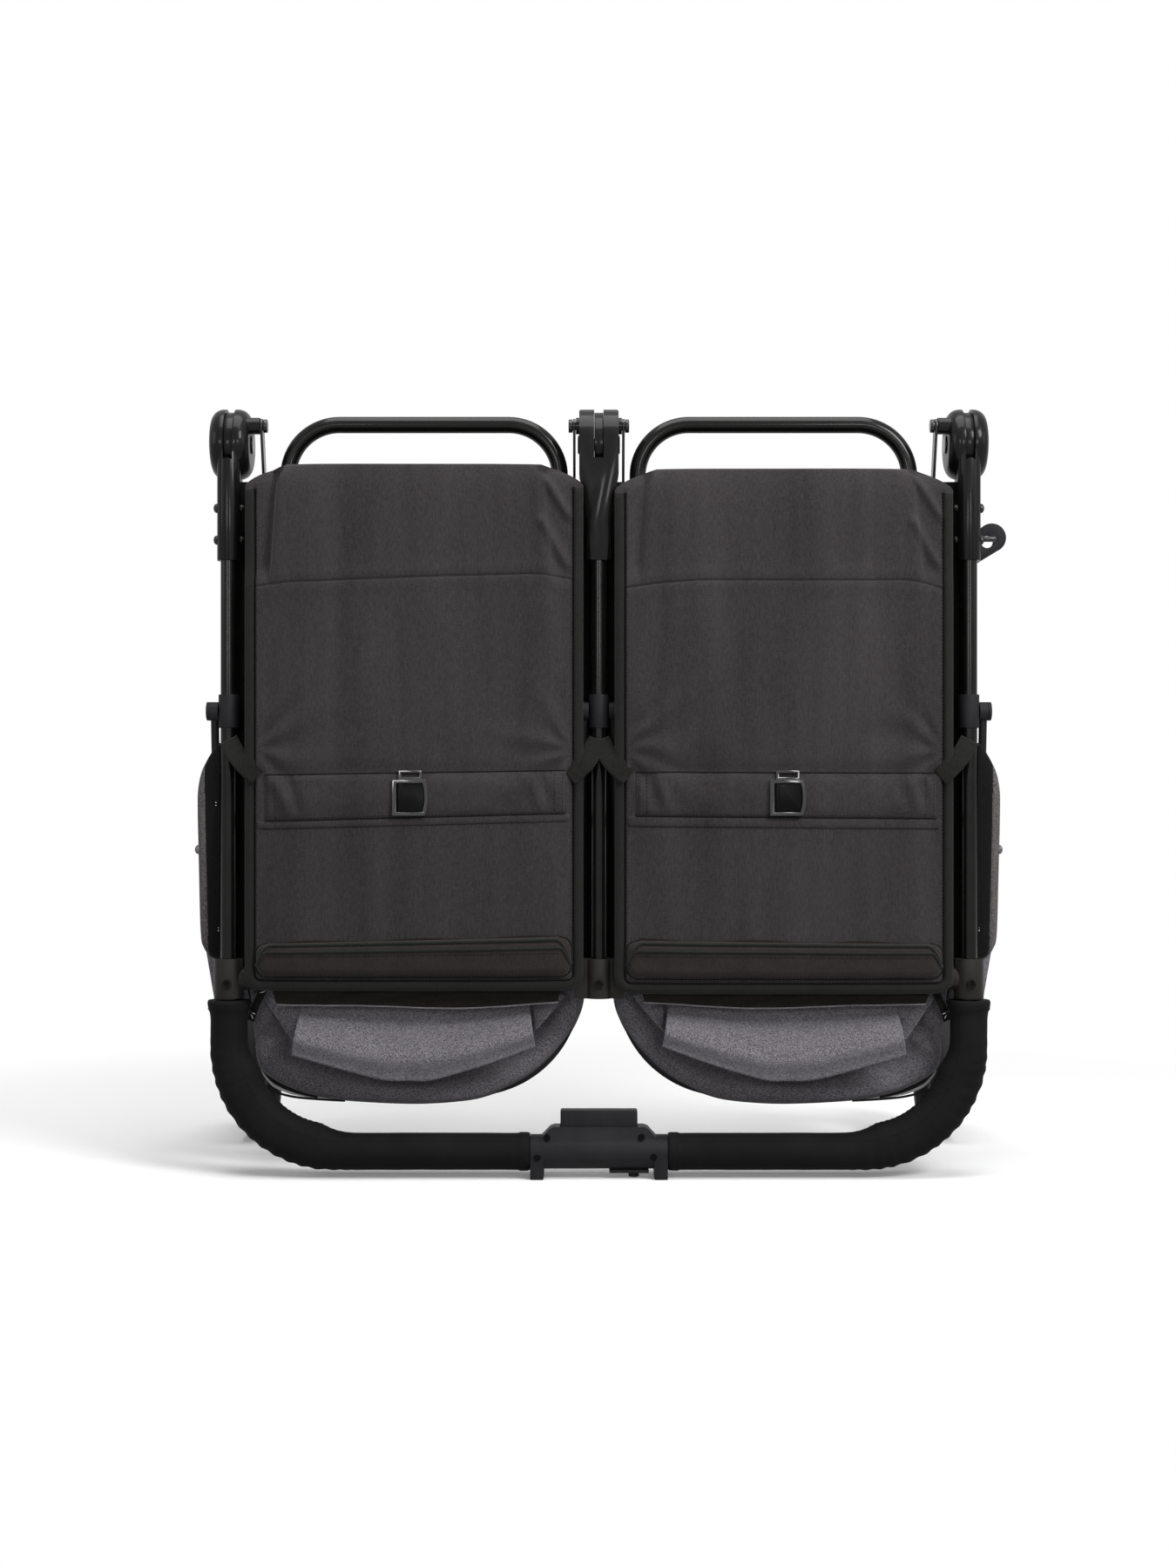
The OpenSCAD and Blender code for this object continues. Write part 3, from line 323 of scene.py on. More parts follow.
def weaveGroup():
    # fine plain weave: thread streaks along Z crossed by short ones along X
    tree, p, made = surfaceGroup("fineWeave", ("Thread", "Height", "ToneAndWrinkleShade"))
    warp = stretchedNoise(tree, p, weaveLook["warp"])
    weft = stretchedNoise(tree, p, weaveLook["weft"])
    share = weaveLook["warpShare"]
    threadAndGapShade = mathNode(tree, "MULTIPLY_ADD", warp, share, mathNode(tree, "MULTIPLY", weft, 1 - share))
    # painted shade: long soft streaks up and down the cloth, lighter and darker, stand in for the shading of
    # hanging wrinkles
    cloudAndWrinkleShade = stretchedNoise(tree, p, weaveLook["cloudAndWrinkleShade"], 2.0)
    return closeGroup(tree, made, threadAndGapShade, mathNode(tree, "ADD", warp, weft), cloudAndWrinkleShade)


grainLook = {"fine": 1400.0, "rub": 38.0}


def grainGroup():
    # spark-eroded mould grain, with faint rubbed patches
    tree, p, made = surfaceGroup("mouldGrain", ("Height", "Rub"))
    fine = noiseOf(tree, p, grainLook["fine"], 2.0, 0.6)
    return closeGroup(tree, made, fine, noiseOf(tree, p, grainLook["rub"], 3.0, 0.55))


heather, weave, grain = heatherGroup(), weaveGroup(), grainGroup()


def startFinish(name, group, fine):
    mat = bpy.data.materials.new(name)
    mat.use_nodes = True
    tree = mat.node_tree
    where = tree.nodes.new("ShaderNodeTexCoord").outputs["Object"]
    g = addNode(tree, "ShaderNodeGroup", {}, node_tree=group)
    setInputs(tree, g, {"Vector": where, "Fine": fine})
    return mat, tree, tree.nodes["Principled BSDF"], g.outputs


def colourRamp(tree, value, low, high, at=(0.0, 1.0)):
    ramp = addNode(tree, "ShaderNodeValToRGB", {0: value})
    for stop, share, colour in zip(ramp.color_ramp.elements, at, (low, high)):
        stop.position = share
        stop.color = (*colour, 1)
    return ramp.outputs[0]


def bumpFrom(tree, height, strength, distance):
    values = {"Height": height, "Strength": strength, "Distance": distance}
    return addNode(tree, "ShaderNodeBump", values).outputs[0]


def clothFinish(name, low, high, fine=1.0, group=weave, sheen=0.1, depth=0.00025, cloudAndShadeShare=0.25):
    mat, tree, shader, g = startFinish(name, group, fine)
    # with the heather this cloud is tone that varies at random; with the plain weave it is painted wrinkle
    # shade
    tone = mathNode(tree, "MULTIPLY_ADD", g["ToneAndWrinkleShade"], cloudAndShadeShare, g[0])
    tone = mathNode(tree, "SUBTRACT", tone, cloudAndShadeShare / 2, clampIt=True)
    setInputs(tree, shader, {
        "Base Color": colourRamp(tree, tone, low, high, (0.25, 0.8)), "Roughness": 0.85,
        "Specular IOR Level": 0.06, "Sheen Weight": sheen, "Sheen Roughness": 0.5,
        "Normal": bumpFrom(tree, g["Height"], 0.5, depth)})
    return mat


def mouldFinish(name, low, high, rough, fine=1.0, depth=0.0, specular=0.06, coat=0.0, metallic=0.0):
    mat, tree, shader, g = startFinish(name, grain, fine)
    setInputs(tree, shader, {
        "Base Color": colourRamp(tree, g["Rub"], low, high, (0.3, 0.75)),
        "Roughness": mathNode(tree, "MULTIPLY_ADD", g["Rub"], rough[1] - rough[0], rough[0]),
        "Specular IOR Level": specular, "Metallic": metallic})
    if coat:
        setInputs(tree, shader, {"Coat Weight": coat, "Coat Roughness": 0.12})
    if depth:
        setInputs(tree, shader, {"Normal": bumpFrom(tree, g["Height"], 0.35, depth)})
    return mat


# colours run from the darkest thread or patch to the lightest
clothLooks = {
    # the seat cloth takes the strongest painted wrinkle shade
    "seatCloth": dict(low=(0.0164, 0.0147, 0.0153), high=(0.0435, 0.0393, 0.0408), cloudAndShadeShare=0.5),
    "flapCloth": dict(low=(0.0138, 0.0116, 0.0108), high=(0.0292, 0.0248, 0.0232), sheen=0.08),
    "apronClothAndPaintedShadow": dict(low=(0.0072, 0.0058, 0.0054), high=(0.018, 0.0148, 0.014), sheen=0.05),
    "nearBlackAndPaintedShade": dict(low=(0.0034, 0.0034, 0.0034), high=(0.0088, 0.0088, 0.0088), sheen=0.05),
    "bindingTape": dict(low=(0.0084, 0.0084, 0.008), high=(0.0178, 0.0178, 0.017), fine=1.4, sheen=0.08),
    "webbing": dict(low=(0.004, 0.004, 0.0037), high=(0.0135, 0.0132, 0.0124), fine=0.8, depth=0.0005),
    # the visor keeps the lighter canopy cloth; the hood takes a darker copy of it, painted shade for the hood
    # under the visor
    "canopyCloth": dict(low=(0.082, 0.077, 0.085), high=(0.236, 0.224, 0.244), fine=1.5, group=heather,
                        cloudAndShadeShare=0.2),
    "hoodPaintedShade": dict(low=(0.06, 0.056, 0.062), high=(0.178, 0.168, 0.184), fine=1.5, group=heather,
                     cloudAndShadeShare=0.3),
    "wingCloth": dict(low=(0.05, 0.046, 0.046), high=(0.14, 0.13, 0.13), fine=1.5, group=heather, cloudAndShadeShare=0.2),
    "paleLining": dict(low=(0.42, 0.42, 0.42), high=(0.62, 0.62, 0.61)),
    "greyPiping": dict(low=(0.11, 0.105, 0.11), high=(0.25, 0.24, 0.25)),
    "threadAndGapShade": dict(low=(0.004, 0.004, 0.004), high=(0.011, 0.011, 0.011), sheen=0.0),
}
mouldLooks = {
    "gripLeather": dict(low=(0.0062, 0.0062, 0.0063), high=(0.0098, 0.0098, 0.0098), rough=(0.6, 0.75),
                        fine=0.6, depth=0.00018, specular=0.035),
    "tubePaint": dict(low=(0.0034, 0.0032, 0.003), high=(0.0056, 0.0054, 0.005), rough=(0.2, 0.3),
                      specular=0.08, coat=0.16),
    "knuckleShell": dict(low=(0.0034, 0.0034, 0.0034), high=(0.0056, 0.0055, 0.0053), rough=(0.3, 0.4),
                         depth=0.00003, coat=0.15),
    "blackMould": dict(low=(0.0096, 0.0093, 0.0106), high=(0.0154, 0.0148, 0.0166), rough=(0.46, 0.6),
                       depth=0.00006, specular=0.09),
    "bracketMould": dict(low=(0.0125, 0.0115, 0.0105), high=(0.02, 0.0185, 0.017), rough=(0.4, 0.5),
                         depth=0.00005, specular=0.1),
    "buckleGloss": dict(low=(0.0012, 0.0012, 0.0012), high=(0.0022, 0.0022, 0.0022), rough=(0.3, 0.38)),
    "platedSteel": dict(low=(0.34, 0.34, 0.35), high=(0.56, 0.56, 0.57), rough=(0.22, 0.4), depth=0.00003,
                        specular=0.5, metallic=1.0),
    "blackSteel": dict(low=(0.006, 0.006, 0.006), high=(0.013, 0.0125, 0.012), rough=(0.16, 0.26),
                       specular=0.3),
    "buckleRim": dict(low=(0.012, 0.012, 0.012), high=(0.03, 0.03, 0.029), rough=(0.1, 0.18), specular=0.5,
                      coat=0.3, metallic=0.35),
    "tyreRubber": dict(low=(0.014, 0.014, 0.014), high=(0.024, 0.024, 0.024), rough=(0.62, 0.78), fine=0.7,
                       depth=0.0002, specular=0.15),
}
finish = {name: clothFinish(name, **look) for name, look in clothLooks.items()}
finish.update({name: mouldFinish(name, **look) for name, look in mouldLooks.items()})
print("finishes made:", len(finish))

slotFinish = {"frame_black": "tubePaint", "hinge_black": "knuckleShell", "plastic_black": "blackMould",
              "bracket_grey": "bracketMould", "steel": "platedSteel", "buckle_black": "buckleGloss",
              "tyre": "tyreRubber", "sleeve": "gripLeather", "seat_cloth": "seatCloth", "webbing": "webbing",
              "canopy_cloth": "canopyCloth"}
ownFinish = {"seat_hangers": "blackSteel", "hinge_pins": "blackSteel",
             "recline_buckle_left": "buckleRim", "recline_buckle_right": "buckleRim"}
slotOf = {p["node"]: p["material_slot"] for p in frame["record"]["subparts"]}
nodeFinish = {n: finish[ownFinish.get(n, slotFinish[slot])] for n, slot in slotOf.items()}
for n, look in nodeFinish.items():
    mesh = frame["nodes"][n].data
    mesh.materials.clear()
    mesh.materials.append(look)


def place(obj, body, slot=None, replaced=()):
    if body:
        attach(obj, body)
    if replaced:
        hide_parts(*replaced)
    return obj


def onBack(obj, side):
    return place(obj, "backrest_" + side, "seat_cloth")


def onCanopy(obj, side, replaced=()):
    return place(obj, "canopy_" + side, "canopy_cloth", replaced)


# rigid parts whose moulded edges catch the light: the solid with eased edges, as width and steps
easedParts = {
    "knuckles": (0.0012, 3), "leg_heads": (0.001, 2), "handle_brackets": (0.0014, 3),
    "canopy_collars": (0.0008, 2), "fold_housing": (0.0016, 3), "fold_trigger": (0.0016, 3),
    "lock_slider": (0.001, 2), "transport_latch": (0.0009, 2), "recline_buckle_left": (0.0009, 3),
    "recline_buckle_right": (0.0009, 3), "buckle_lever_left": (0.0005, 2), "buckle_lever_right": (0.0005, 2),
    "hinge_pins": (0.0007, 2), "brake_pedal": (0.0015, 2), "rear_housings": (0.0012, 2),
    "castor_housings": (0.001, 2), "castor_fork_left": (0.0012, 2), "castor_fork_center": (0.0012, 2),
    "castor_fork_right": (0.0012, 2), "seat_hangers": (0.0005, 2),
}
tubeX, tubeY = 0.3565, -0.152  # middle of the outer push tubes
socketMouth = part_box("knuckles")[0].z
neck = {"halfWide": (0.0105, 0.0196), "halfDeep": 0.013, "near": 0.0006, "shortest": 0.004, "tall": 0.082,
        "round": 0.0068, "steps": 8}


def roundNeck(work):
    # the middle socket is round below its flat drum
    def onCorner(p):
        thin, wide = neck["halfWide"]
        return thin < abs(p.x) < wide and abs(abs(p.y - tubeY) - neck["halfDeep"]) < neck["near"]
    edges = []
    for e in work.edges:
        a, b = e.verts[0].co, e.verts[1].co
        upright = abs(a.z - b.z) > neck["shortest"] and max(a.z, b.z) < socketMouth + neck["tall"]
        if upright and onCorner(a) and onCorner(b):
            edges.append(e)
    bmesh.ops.bevel(work, geom=edges, offset=neck["round"], segments=neck["steps"], profile=0.5,
                    affect="EDGES", clamp_overlap=True)
    print("round neck edges:", len(edges))


def easedCopy(node, width, segments):
    obj = bpy.data.objects.new(node + "Eased", frame["nodes"][node].data.copy())
    bpy.context.scene.collection.objects.link(obj)
    work = bmesh.new()
    work.from_mesh(obj.data)
    bmesh.ops.remove_doubles(work, verts=work.verts, dist=2e-6)
    bmesh.ops.dissolve_limit(work, angle_limit=math.radians(0.6), verts=work.verts, edges=work.edges)
    if node == "knuckles":
        roundNeck(work)
    work.to_mesh(obj.data)
    work.free()
    m = obj.modifiers.new("edge", "BEVEL")
    m.width, m.segments = width, segments
    m.limit_method, m.angle_limit = "ANGLE", math.radians(40)
    settle(obj)
    smoothFaces(obj)
    obj.data.set_sharp_from_angle(angle=math.radians(38))
    return place(obj, bodyOf[node], slotOf[node], [node])


for node, (width, segments) in easedParts.items():
    easedCopy(node, width, segments)
print("rigid parts eased:", len(easedParts))


# geometry nodes: stitches along drawn lines, and screw or rivet heads on marked points
def pieceTree(name, sizes):
    inputs = {"Geometry": "Geometry", **dict.fromkeys(sizes, "Float"), "Material": "Material"}
    return nodeGroup(name, "GeometryNodeTree", inputs, {"Geometry": "Geometry"})


def setOnPoints(tree, given, made, points, piece, facing, scale):
    # the piece on every point, turned to face one way, as plain mesh in its finish
    turn = addNode(tree, "FunctionNodeAlignRotationToVector", {"Vector": facing})
    put = addNode(tree, "GeometryNodeInstanceOnPoints", {"Points": points, "Instance": piece, "Scale": scale,
                                                         "Rotation": turn.outputs[0]})
    real = addNode(tree, "GeometryNodeRealizeInstances", {0: put.outputs[0]})
    paint = addNode(tree, "GeometryNodeSetMaterial", {"Geometry": real.outputs[0],
                                                      "Material": given["Material"]})
    return closeGroup(tree, made, paint.outputs[0])


def stitchTree():
    tree, given, made = pieceTree("sewnLine", ("Pitch", "Length", "Width"))
    curve = addNode(tree, "GeometryNodeMeshToCurve", {0: given["Geometry"]})
    even = addNode(tree, "GeometryNodeResampleCurve", {"Curve": curve.outputs[0], "Length": given["Pitch"]},
                   mode="LENGTH")
    bead = addNode(tree, "GeometryNodeMeshUVSphere", {"Segments": 6, "Rings": 4, "Radius": 0.5})
    size = vectorOf(tree, given["Width"], given["Width"], given["Length"])
    tangent = tree.nodes.new("GeometryNodeInputTangent")
    return setOnPoints(tree, given, made, even.outputs[0], bead.outputs[0], tangent.outputs[0], size)


def domedHead(tree, given):
    # a ball squashed to the head's radius and height
    ball = addNode(tree, "GeometryNodeMeshUVSphere", {"Segments": 20, "Rings": 10, "Radius": 1.0})
    squash = vectorOf(tree, given["Radius"], given["Radius"], given["Height"])
    return addNode(tree, "GeometryNodeTransform", {"Geometry": ball.outputs[0], "Scale": squash}).outputs[0]


def recessTool(tree, given, corners):
    # a six-sided key, or one bar of a cross
    wide, tall = mathNode(tree, "MULTIPLY", given["Radius"], given["Recess"]), given["Height"]
    if corners == 6:
        key = addNode(tree, "GeometryNodeMeshCylinder", {"Vertices": corners, "Radius": wide, "Depth": tall})
        return key.outputs[0]
    size = vectorOf(tree, mathNode(tree, "MULTIPLY", wide, 2.0), mathNode(tree, "MULTIPLY", wide, 0.5), tall)
    return addNode(tree, "GeometryNodeMeshCube", {"Size": size}).outputs[0]


def recessedHead(tree, given, corners):
    # a turned head, a little narrower at its face, with a recess cut into it
    radius, tall = given["Radius"], given["Height"]
    face = mathNode(tree, "MULTIPLY", radius, 0.82)
    head = addNode(tree, "GeometryNodeMeshCone", {"Vertices": 24, "Radius Bottom": radius, "Radius Top": face,
                                                  "Depth": tall})
    cut = addNode(tree, "GeometryNodeMeshBoolean", {}, operation="DIFFERENCE")
    setInputs(tree, cut, {"Mesh 1": head.outputs[0]})
    for turnBy in ((0,) if corners == 6 else (0, 90)):
        move = addNode(tree, "GeometryNodeTransform", {
            "Geometry": recessTool(tree, given, corners), "Rotation": (0, 0, math.radians(turnBy)),
            "Translation": vectorOf(tree, 0.0, 0.0, mathNode(tree, "MULTIPLY", tall, 1.05))})
        setInputs(tree, cut, {"Mesh 2": move.outputs[0]})
    return cut.outputs[0]


def headTree(name, corners):
    # heads with a recess of 6 sides, with a cross (4), or domed (0)
    tree, given, made = pieceTree(name, ("Radius", "Height", "Recess"))
    shape = recessedHead(tree, given, corners) if corners else domedHead(tree, given)
    facing = addNode(tree, "GeometryNodeInputNamedAttribute", {"Name": "facing"}, data_type="FLOAT_VECTOR")
    return setOnPoints(tree, given, made, given["Geometry"], shape, facing.outputs[0], (1, 1, 1))


def runTree(obj, tree, **values):
    mod = obj.modifiers.new("nodes", "NODES")
    mod.node_group = tree
    for item in tree.interface.items_tree:
        if item.in_out == "INPUT" and item.name in values:
            mod[item.identifier] = values[item.name]
    return settle(obj)


sewnLine = stitchTree()
hexHead, crossHead, plainHead = headTree("hexHead", 6), headTree("crossHead", 4), headTree("plainHead", 0)


def sewLines(name, lines, body, slot, pitch=0.0034, length=0.0024, width=0.0006, material="threadAndGapShade"):
    verts, edges = [], []
    for line in lines:
        first = len(verts)
        verts += line
        edges += [(first + i, first + i + 1) for i in range(len(line) - 1)]
    obj = makeMesh(name, verts, [], None, edges)
    runTree(obj, sewnLine, Pitch=pitch, Length=length, Width=width, Material=finish[material])
    return place(obj, body, slot)


def setHeads(name, tree, spots, body, slot, radius, height, material, recess=0.5):
    obj = makeMesh(name, [p for p, _ in spots], [], None)
    facing = obj.data.attributes.new("facing", "FLOAT_VECTOR", "POINT")
    for i, (_, f) in enumerate(spots):
        facing.data[i].vector = f
    runTree(obj, tree, Radius=radius, Height=height, Recess=recess, Material=finish[material])
    return place(obj, body, slot)


print("node trees ready")

# seat backs: one sewn panel from the lower edge to the flap's top, with a sewn fold line
sides = {"left": -1, "right": 1}
seatBack = {
    "mid": 0.1765, "half": 0.1615, "low": {-1: 0.182, 1: 0.179}, "top": {-1: 0.6838, 1: 0.6792},
    "rear": -0.165, "edge": 0.010, "crown": 0.0215, "tape": 0.0088, "tapeSwell": 0.0018, "groove": 0.0036,
    "round": 0.016, "corner": (0.04, 0.0205), "foldLine": 0.574, "foldDepth": 0.0012, "foldSwell": 0.0005,
    "foldWay": {-1: (-7.6, -3.2, -1.7, 0, 1.5, 2.8, 3.7, 4.3, -1.5),
                1: (-9.3, -4.3, -1.7, -1.5, -1.5, -1.5, -1.5, -1.7, -10.8)},
    "foldSpan": (0.588, 0.564), "foldY": -0.187, "fineEdge": 0.0135, "fineFold": 0.006, "columns": 150,
    "rows": 196}
# creases of the cloth: depths, and where they lie
creases = {
    "hang": (0.385, 0.6), "wrinkle": 0.0042, "ripple": 0.0011, "uneven": 0.0012,
    "fanX": 0.15, "fanZ": 0.412, "fanReach": 0.022, "fanDeep": 0.0017, "tuckZ": 0.391, "tuckDeep": 0.0016,
    "pleatLow": 0.566, "pleatX": (-0.127, 0.119), "pleatLean": 0.008 / 0.11, "pleatLip": 0.0014,
    "leftPleat": {-1: 0.0085, 1: 0.0045}, "rightPleat": 0.0042,
    "crests": ((0.0044, (0.124, 0.672), (0.149, 0.632), 0.0042),
               (0.004, (0.121, 0.632), (0.148, 0.584), 0.0046))}


def backHalf(s, z):
    b = seatBack
    inward, drop = b["corner"]
    t = clamp((z - b["top"][s] + drop) / drop)
    r = clamp((b["low"][s] + b["round"] - z) / b["round"])
    return b["half"] - inward * t ** 1.65 - b["round"] * (1 - math.sqrt(1 - r * r))


def edgeGap(s, x, z):
    # distance in from the bound edge, round the lower corners
    b = seatBack
    dx = abs(x - s * b["mid"]) - b["half"] + b["round"]
    dz = b["low"][s] + b["round"] - z
    if dx > 0 and dz > 0:
        return b["round"] - math.hypot(dx, dz)
    return min(backHalf(s, z) - abs(x - s * b["mid"]), z - b["low"][s])


def seamHeight(s, a):
    points = [(0.001 * v,) for v in seatBack["foldWay"][s]]
    return seatBack["foldLine"] + alongPoints(points, (a + 1) / 2)[0]


def ridge(x, z, start, end, wide):
    # soft crest along a short line, fading at both ends
    ax, az = end[0] - start[0], end[1] - start[1]
    long = math.hypot(ax, az)
    ahead = ((x - start[0]) * ax + (z - start[1]) * az) / long
    off = ((x - start[0]) * az - (z - start[1]) * ax) / long
    return bump(off, wide) * ease(ahead / 0.012 + 0.5) * ease((long - ahead) / 0.012 + 0.5)


def backDepth(s, x, z):
    b, c = seatBack, creases
    from0 = x - s * b["mid"]
    low, top = b["low"][s], b["top"][s]
    a = clamp(from0 / backHalf(s, z), -1, 1)
    e = edgeGap(s, x, z)
    bound = ease((top - b["corner"][1] - z) / 0.006)
    inside = ease((e - b["tape"]) / 0.016)
    full = (1 - abs(a) ** 5) * (1 - 0.55 * abs((2 * z - low - top) / (top - low)) ** 12)
    d = lerp(b["edge"], b["crown"], full)
    d += bound * b["tapeSwell"] * math.sin(math.pi * clamp(e / b["tape"]))
    d -= bound * b["groove"] * bump(e - b["tape"] - 0.0009, 0.0011)
    # sewn fold line, with the cloth swelling a little on both sides
    fold = z - seamHeight(s, a)
    d += inside * b["foldSwell"] * (bump(fold - 0.007, 0.005) + bump(fold + 0.007, 0.005))
    d -= ease((e - b["tape"]) / 0.004) * b["foldDepth"] * bump(fold, 0.0011)
    # long soft wrinkles hanging between the fold line and the recline band
    hang = ease((z - c["hang"][0]) / 0.05) * ease((c["hang"][1] - z) / 0.06)
    d += inside * hang * c["wrinkle"] * wander(x * 26, 0.3, z * 3.0, 2 + s)
    d += inside * (0.25 + 0.75 * hang) * c["ripple"] * wander(x * 62, 0.9, z * 6, 5 + s)
    d += inside * c["uneven"] * wander(x * 11, 0.5, z * 8, 11 + s)
    # gathers fanning out of the strap ends above the band
    for k in (-1, 1):
        dx, dz = c["fanX"] - k * from0, z - c["fanZ"]
        r = math.hypot(dx, dz) / c["fanReach"]
        fan = math.sin(9 * math.atan2(dz, dx + 0.004) + 1.7 * s + k + 2 * wander(x * 30, 0.1, z * 30, 6))
        d += inside * c["fanDeep"] * fan * r * math.exp(1 - r)
    d -= inside * c["tuckDeep"] * bump(z - c["tuckZ"], 0.007)
    # pleats in the two upper corners, where the cloth turns round the hoop
    up = ease((z - c["pleatLow"]) / 0.024) * ease((top - z) / 0.004)
    lean = c["pleatLean"] * (top - z)
    line = c["pleatX"][0] - from0 - lean
    d += up * c["pleatLip"] * bump(line + 0.004, 0.005)
    d -= up * c["leftPleat"][s] * ease(line / 0.0042) * (1 - 0.7 * ease((line - 0.004) / 0.017))
    line = from0 - c["pleatX"][1] - 1.4 * lean
    d += up * c["pleatLip"] * bump(line + 0.004, 0.005)
    d -= up * c["rightPleat"] * ease(line / 0.0055) * (1 - 0.6 * ease((line - 0.005) / 0.018))
    for tall, start, end, wide in c["crests"]:
        d += up * tall * ridge(from0, z, start, end, wide)
    return d


def backSkin(s, x, z, lift=0.0):
    return Vector((x, seatBack["rear"] - backDepth(s, x, z) - lift, z))


def along(t, stops):
    # straight steps between (share, value) stops
    for (t0, v0), (t1, v1) in zip(stops, stops[1:]):
        if t <= t1:
            return lerp(v0, v1, (t - t0) / (t1 - t0))
    return stops[-1][1]


def blendBack(obj, side):
    above, below = seatBack["foldSpan"]
    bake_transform(obj)


def seatPanel(side):
    s, b = sides[side], seatBack
    low, top = b["low"][s], b["top"][s]
    def spot(u, v):
        # closer rows and columns at the binding and at the fold line
        seam = seamHeight(s, 2 * u - 1)
        edge, fold = b["fineEdge"], b["fineFold"]
        z = along(v, ((0, low), (0.08, low + edge), (0.68, seam - fold), (0.76, seam + fold), (1, top)))
        half = backHalf(s, z)
        return along(u, ((0, -half), (0.1, edge - half), (0.27, 0.05 - half), (0.73, half - 0.05),
                         (0.9, half - edge), (1, half))) + s * b["mid"], z
    def front(u, v):
        return backSkin(s, *spot(u, v))
    def back(u, v):
        x, z = spot(u, v)
        return Vector((x, b["rear"] - 0.0025 * abs((x - s * b["mid"]) / b["half"]) ** 6, z))
    obj = padFrom("seatPanel." + side, b["columns"], b["rows"], front, back, finish["seatCloth"])
    obj.data.materials.append(finish["bindingTape"])
    obj.data.materials.append(finish["nearBlackAndPaintedShade"])
    # painted shade: the narrow strip in the groove just inside the tape takes the near-black colour, the tape
    # itself its binding colour
    for p in obj.data.polygons:
        gap = edgeGap(s, p.center.x, p.center.z) - b["tape"]
        if p.center.z < top - b["corner"][1] - 0.002 and gap < 0.0018:
            p.material_index = 1 if gap < 0.0004 else 2
    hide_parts("backrest_" + side, "seat_flap_" + side)
    blendBack(obj, side)
    seam = []
    for u in steps(100):
        a = lerp(-0.93, 0.93, u)
        seam.append(backSkin(s, s * b["mid"] + a * b["half"], seamHeight(s, a), -0.0001))
    blendBack(sewLines("foldStitches." + side, [seam], None, "seat_cloth", 0.0026, 0.0024, 0.0007), side)


def patch(name, s, xAt, zAt, rise, nu, nv, material, sink=0.0015):
    # a sewn-on layer that follows the panel under it
    def front(u, v):
        return backSkin(s, xAt(u, v), zAt(u, v), rise(u, v))
    def back(u, v):
        return backSkin(s, xAt(u, v), zAt(u, v), -sink)
    return padFrom(name, nu, nv, front, back, material)


band = {"half": 0.1425, "shift": 0.0015, "top": 0.3893, "low": 0.3476, "topSlope": {-1: 0.0022, 1: -0.0005},
        "lowSlope": {-1: 0.0038, 1: -0.0012}, "rise": 0.0028, "gather": 0.0026, "pucker": 0.0009,
        "pinch": 0.0014, "soft": 0.0012, "buckle": 0.179, "hem": {-1: 0.0074, 1: 0.0098}, "hemPast": 0.006,
        "cord": 0.001, "crossStitches": (-0.985, -0.93, 0.985, 0.93)}


def reclineBand(side):
    s, mid = sides[side], sides[side] * seatBack["mid"]
    def xAt(u, v):
        return mid + band["shift"] + (2 * u - 1) * band["half"]
    def zTop(u):
        return band["top"] + band["topSlope"][s] * (2 * u - 1)
    def zLow(u):
        return band["low"] + band["lowSlope"][s] * (2 * u - 1)
    def zAt(u, v):
        return lerp(zLow(u), zTop(u), v)
    def rise(u, v):
        x, a = xAt(u, v), abs(2 * u - 1)
        edge = ease(min(v, 1 - v) / 0.1) * ease((1 - a) / 0.03)
        d = band["rise"] * math.sin(math.pi * v) ** 0.6 - band["pinch"] * bump(x - s * band["buckle"], 0.026)
        d += band["gather"] * math.sin(290 * x + 3 * v + s) * bump(a - 0.84, 0.1) * math.sin(math.pi * v)
        ripple = math.sin(950 * x + 6 * wander(x * 90, v, 0.3, 4))
        d += band["pucker"] * ripple * bump(a - 0.8, 0.16) * bump(1 - v, 0.35)
        return 0.0008 + edge * (d + band["soft"] * wander(x * 45, 0.2, v * 2.5, 21 + s))
    def hemX(u, v):
        return mid + (2 * u - 1) * (band["half"] + band["hemPast"])
    def hemZ(u, v):
        return zLow(u) - 0.0006 - band["hem"][s] * (1 - v)
    def hemRise(u, v):
        return 0.0004 + 0.0008 * math.sin(math.pi * v) ** 0.5
    def drawn(lineAt, off, lift):
        return [backSkin(s, xAt(u, 0), lineAt(u) + off, lift) for u in steps(120)]
    onBack(patch("reclineBand." + side, s, xAt, zAt, rise, 210, 20, finish["seatCloth"]), side)
    onBack(patch("bandHem." + side, s, hemX, hemZ, hemRise, 90, 6, finish["seatCloth"]), side)
    cord = roundSection(band["cord"], 6)
    cords = [sweep("bandEdge", drawn(lineAt, off, 0.0003), cord, finish["nearBlackAndPaintedShade"])
             for lineAt, off in ((zTop, 0.0004), (zLow, -0.0002))]
    onBack(joinPieces("bandEdges." + side, cords), side)
    lines = [drawn(zTop, 0.0004, 0.0006), drawn(zLow, 0.0018, 0.0011), drawn(zLow, -0.0003, 0.0004),
             drawn(zLow, -0.0005 - band["hem"][s], 0.0004)]
    for a in band["crossStitches"]:
        u = (a + 1) / 2
        up = [0.08 + 0.06 * j for j in range(15)]
        lines.append([backSkin(s, xAt(u, v), zAt(u, v), rise(u, v) + 0.0002) for v in up])
    return lines


# zip sets the height of the dark strip above the flap, which is painted shadow
flap = {"half": 0.1505, "top": 0.2305, "low": 0.1955, "shift": {-1: 0.0, 1: -0.002},
        "slope": {-1: 0.0033, 1: -0.0016}, "rise": 0.0056, "zip": 0.0034, "topCorner": (0.28, 0.012),
        "lowCorner": (0.34, 0.011), "piping": ((0.0024, 0.0017), (0.0094, 0.0015)), "shade": 0.0013,
        "seams": ((0.04, 0.0003), (0.6, 0.0002), (0.88, 0.0001))}


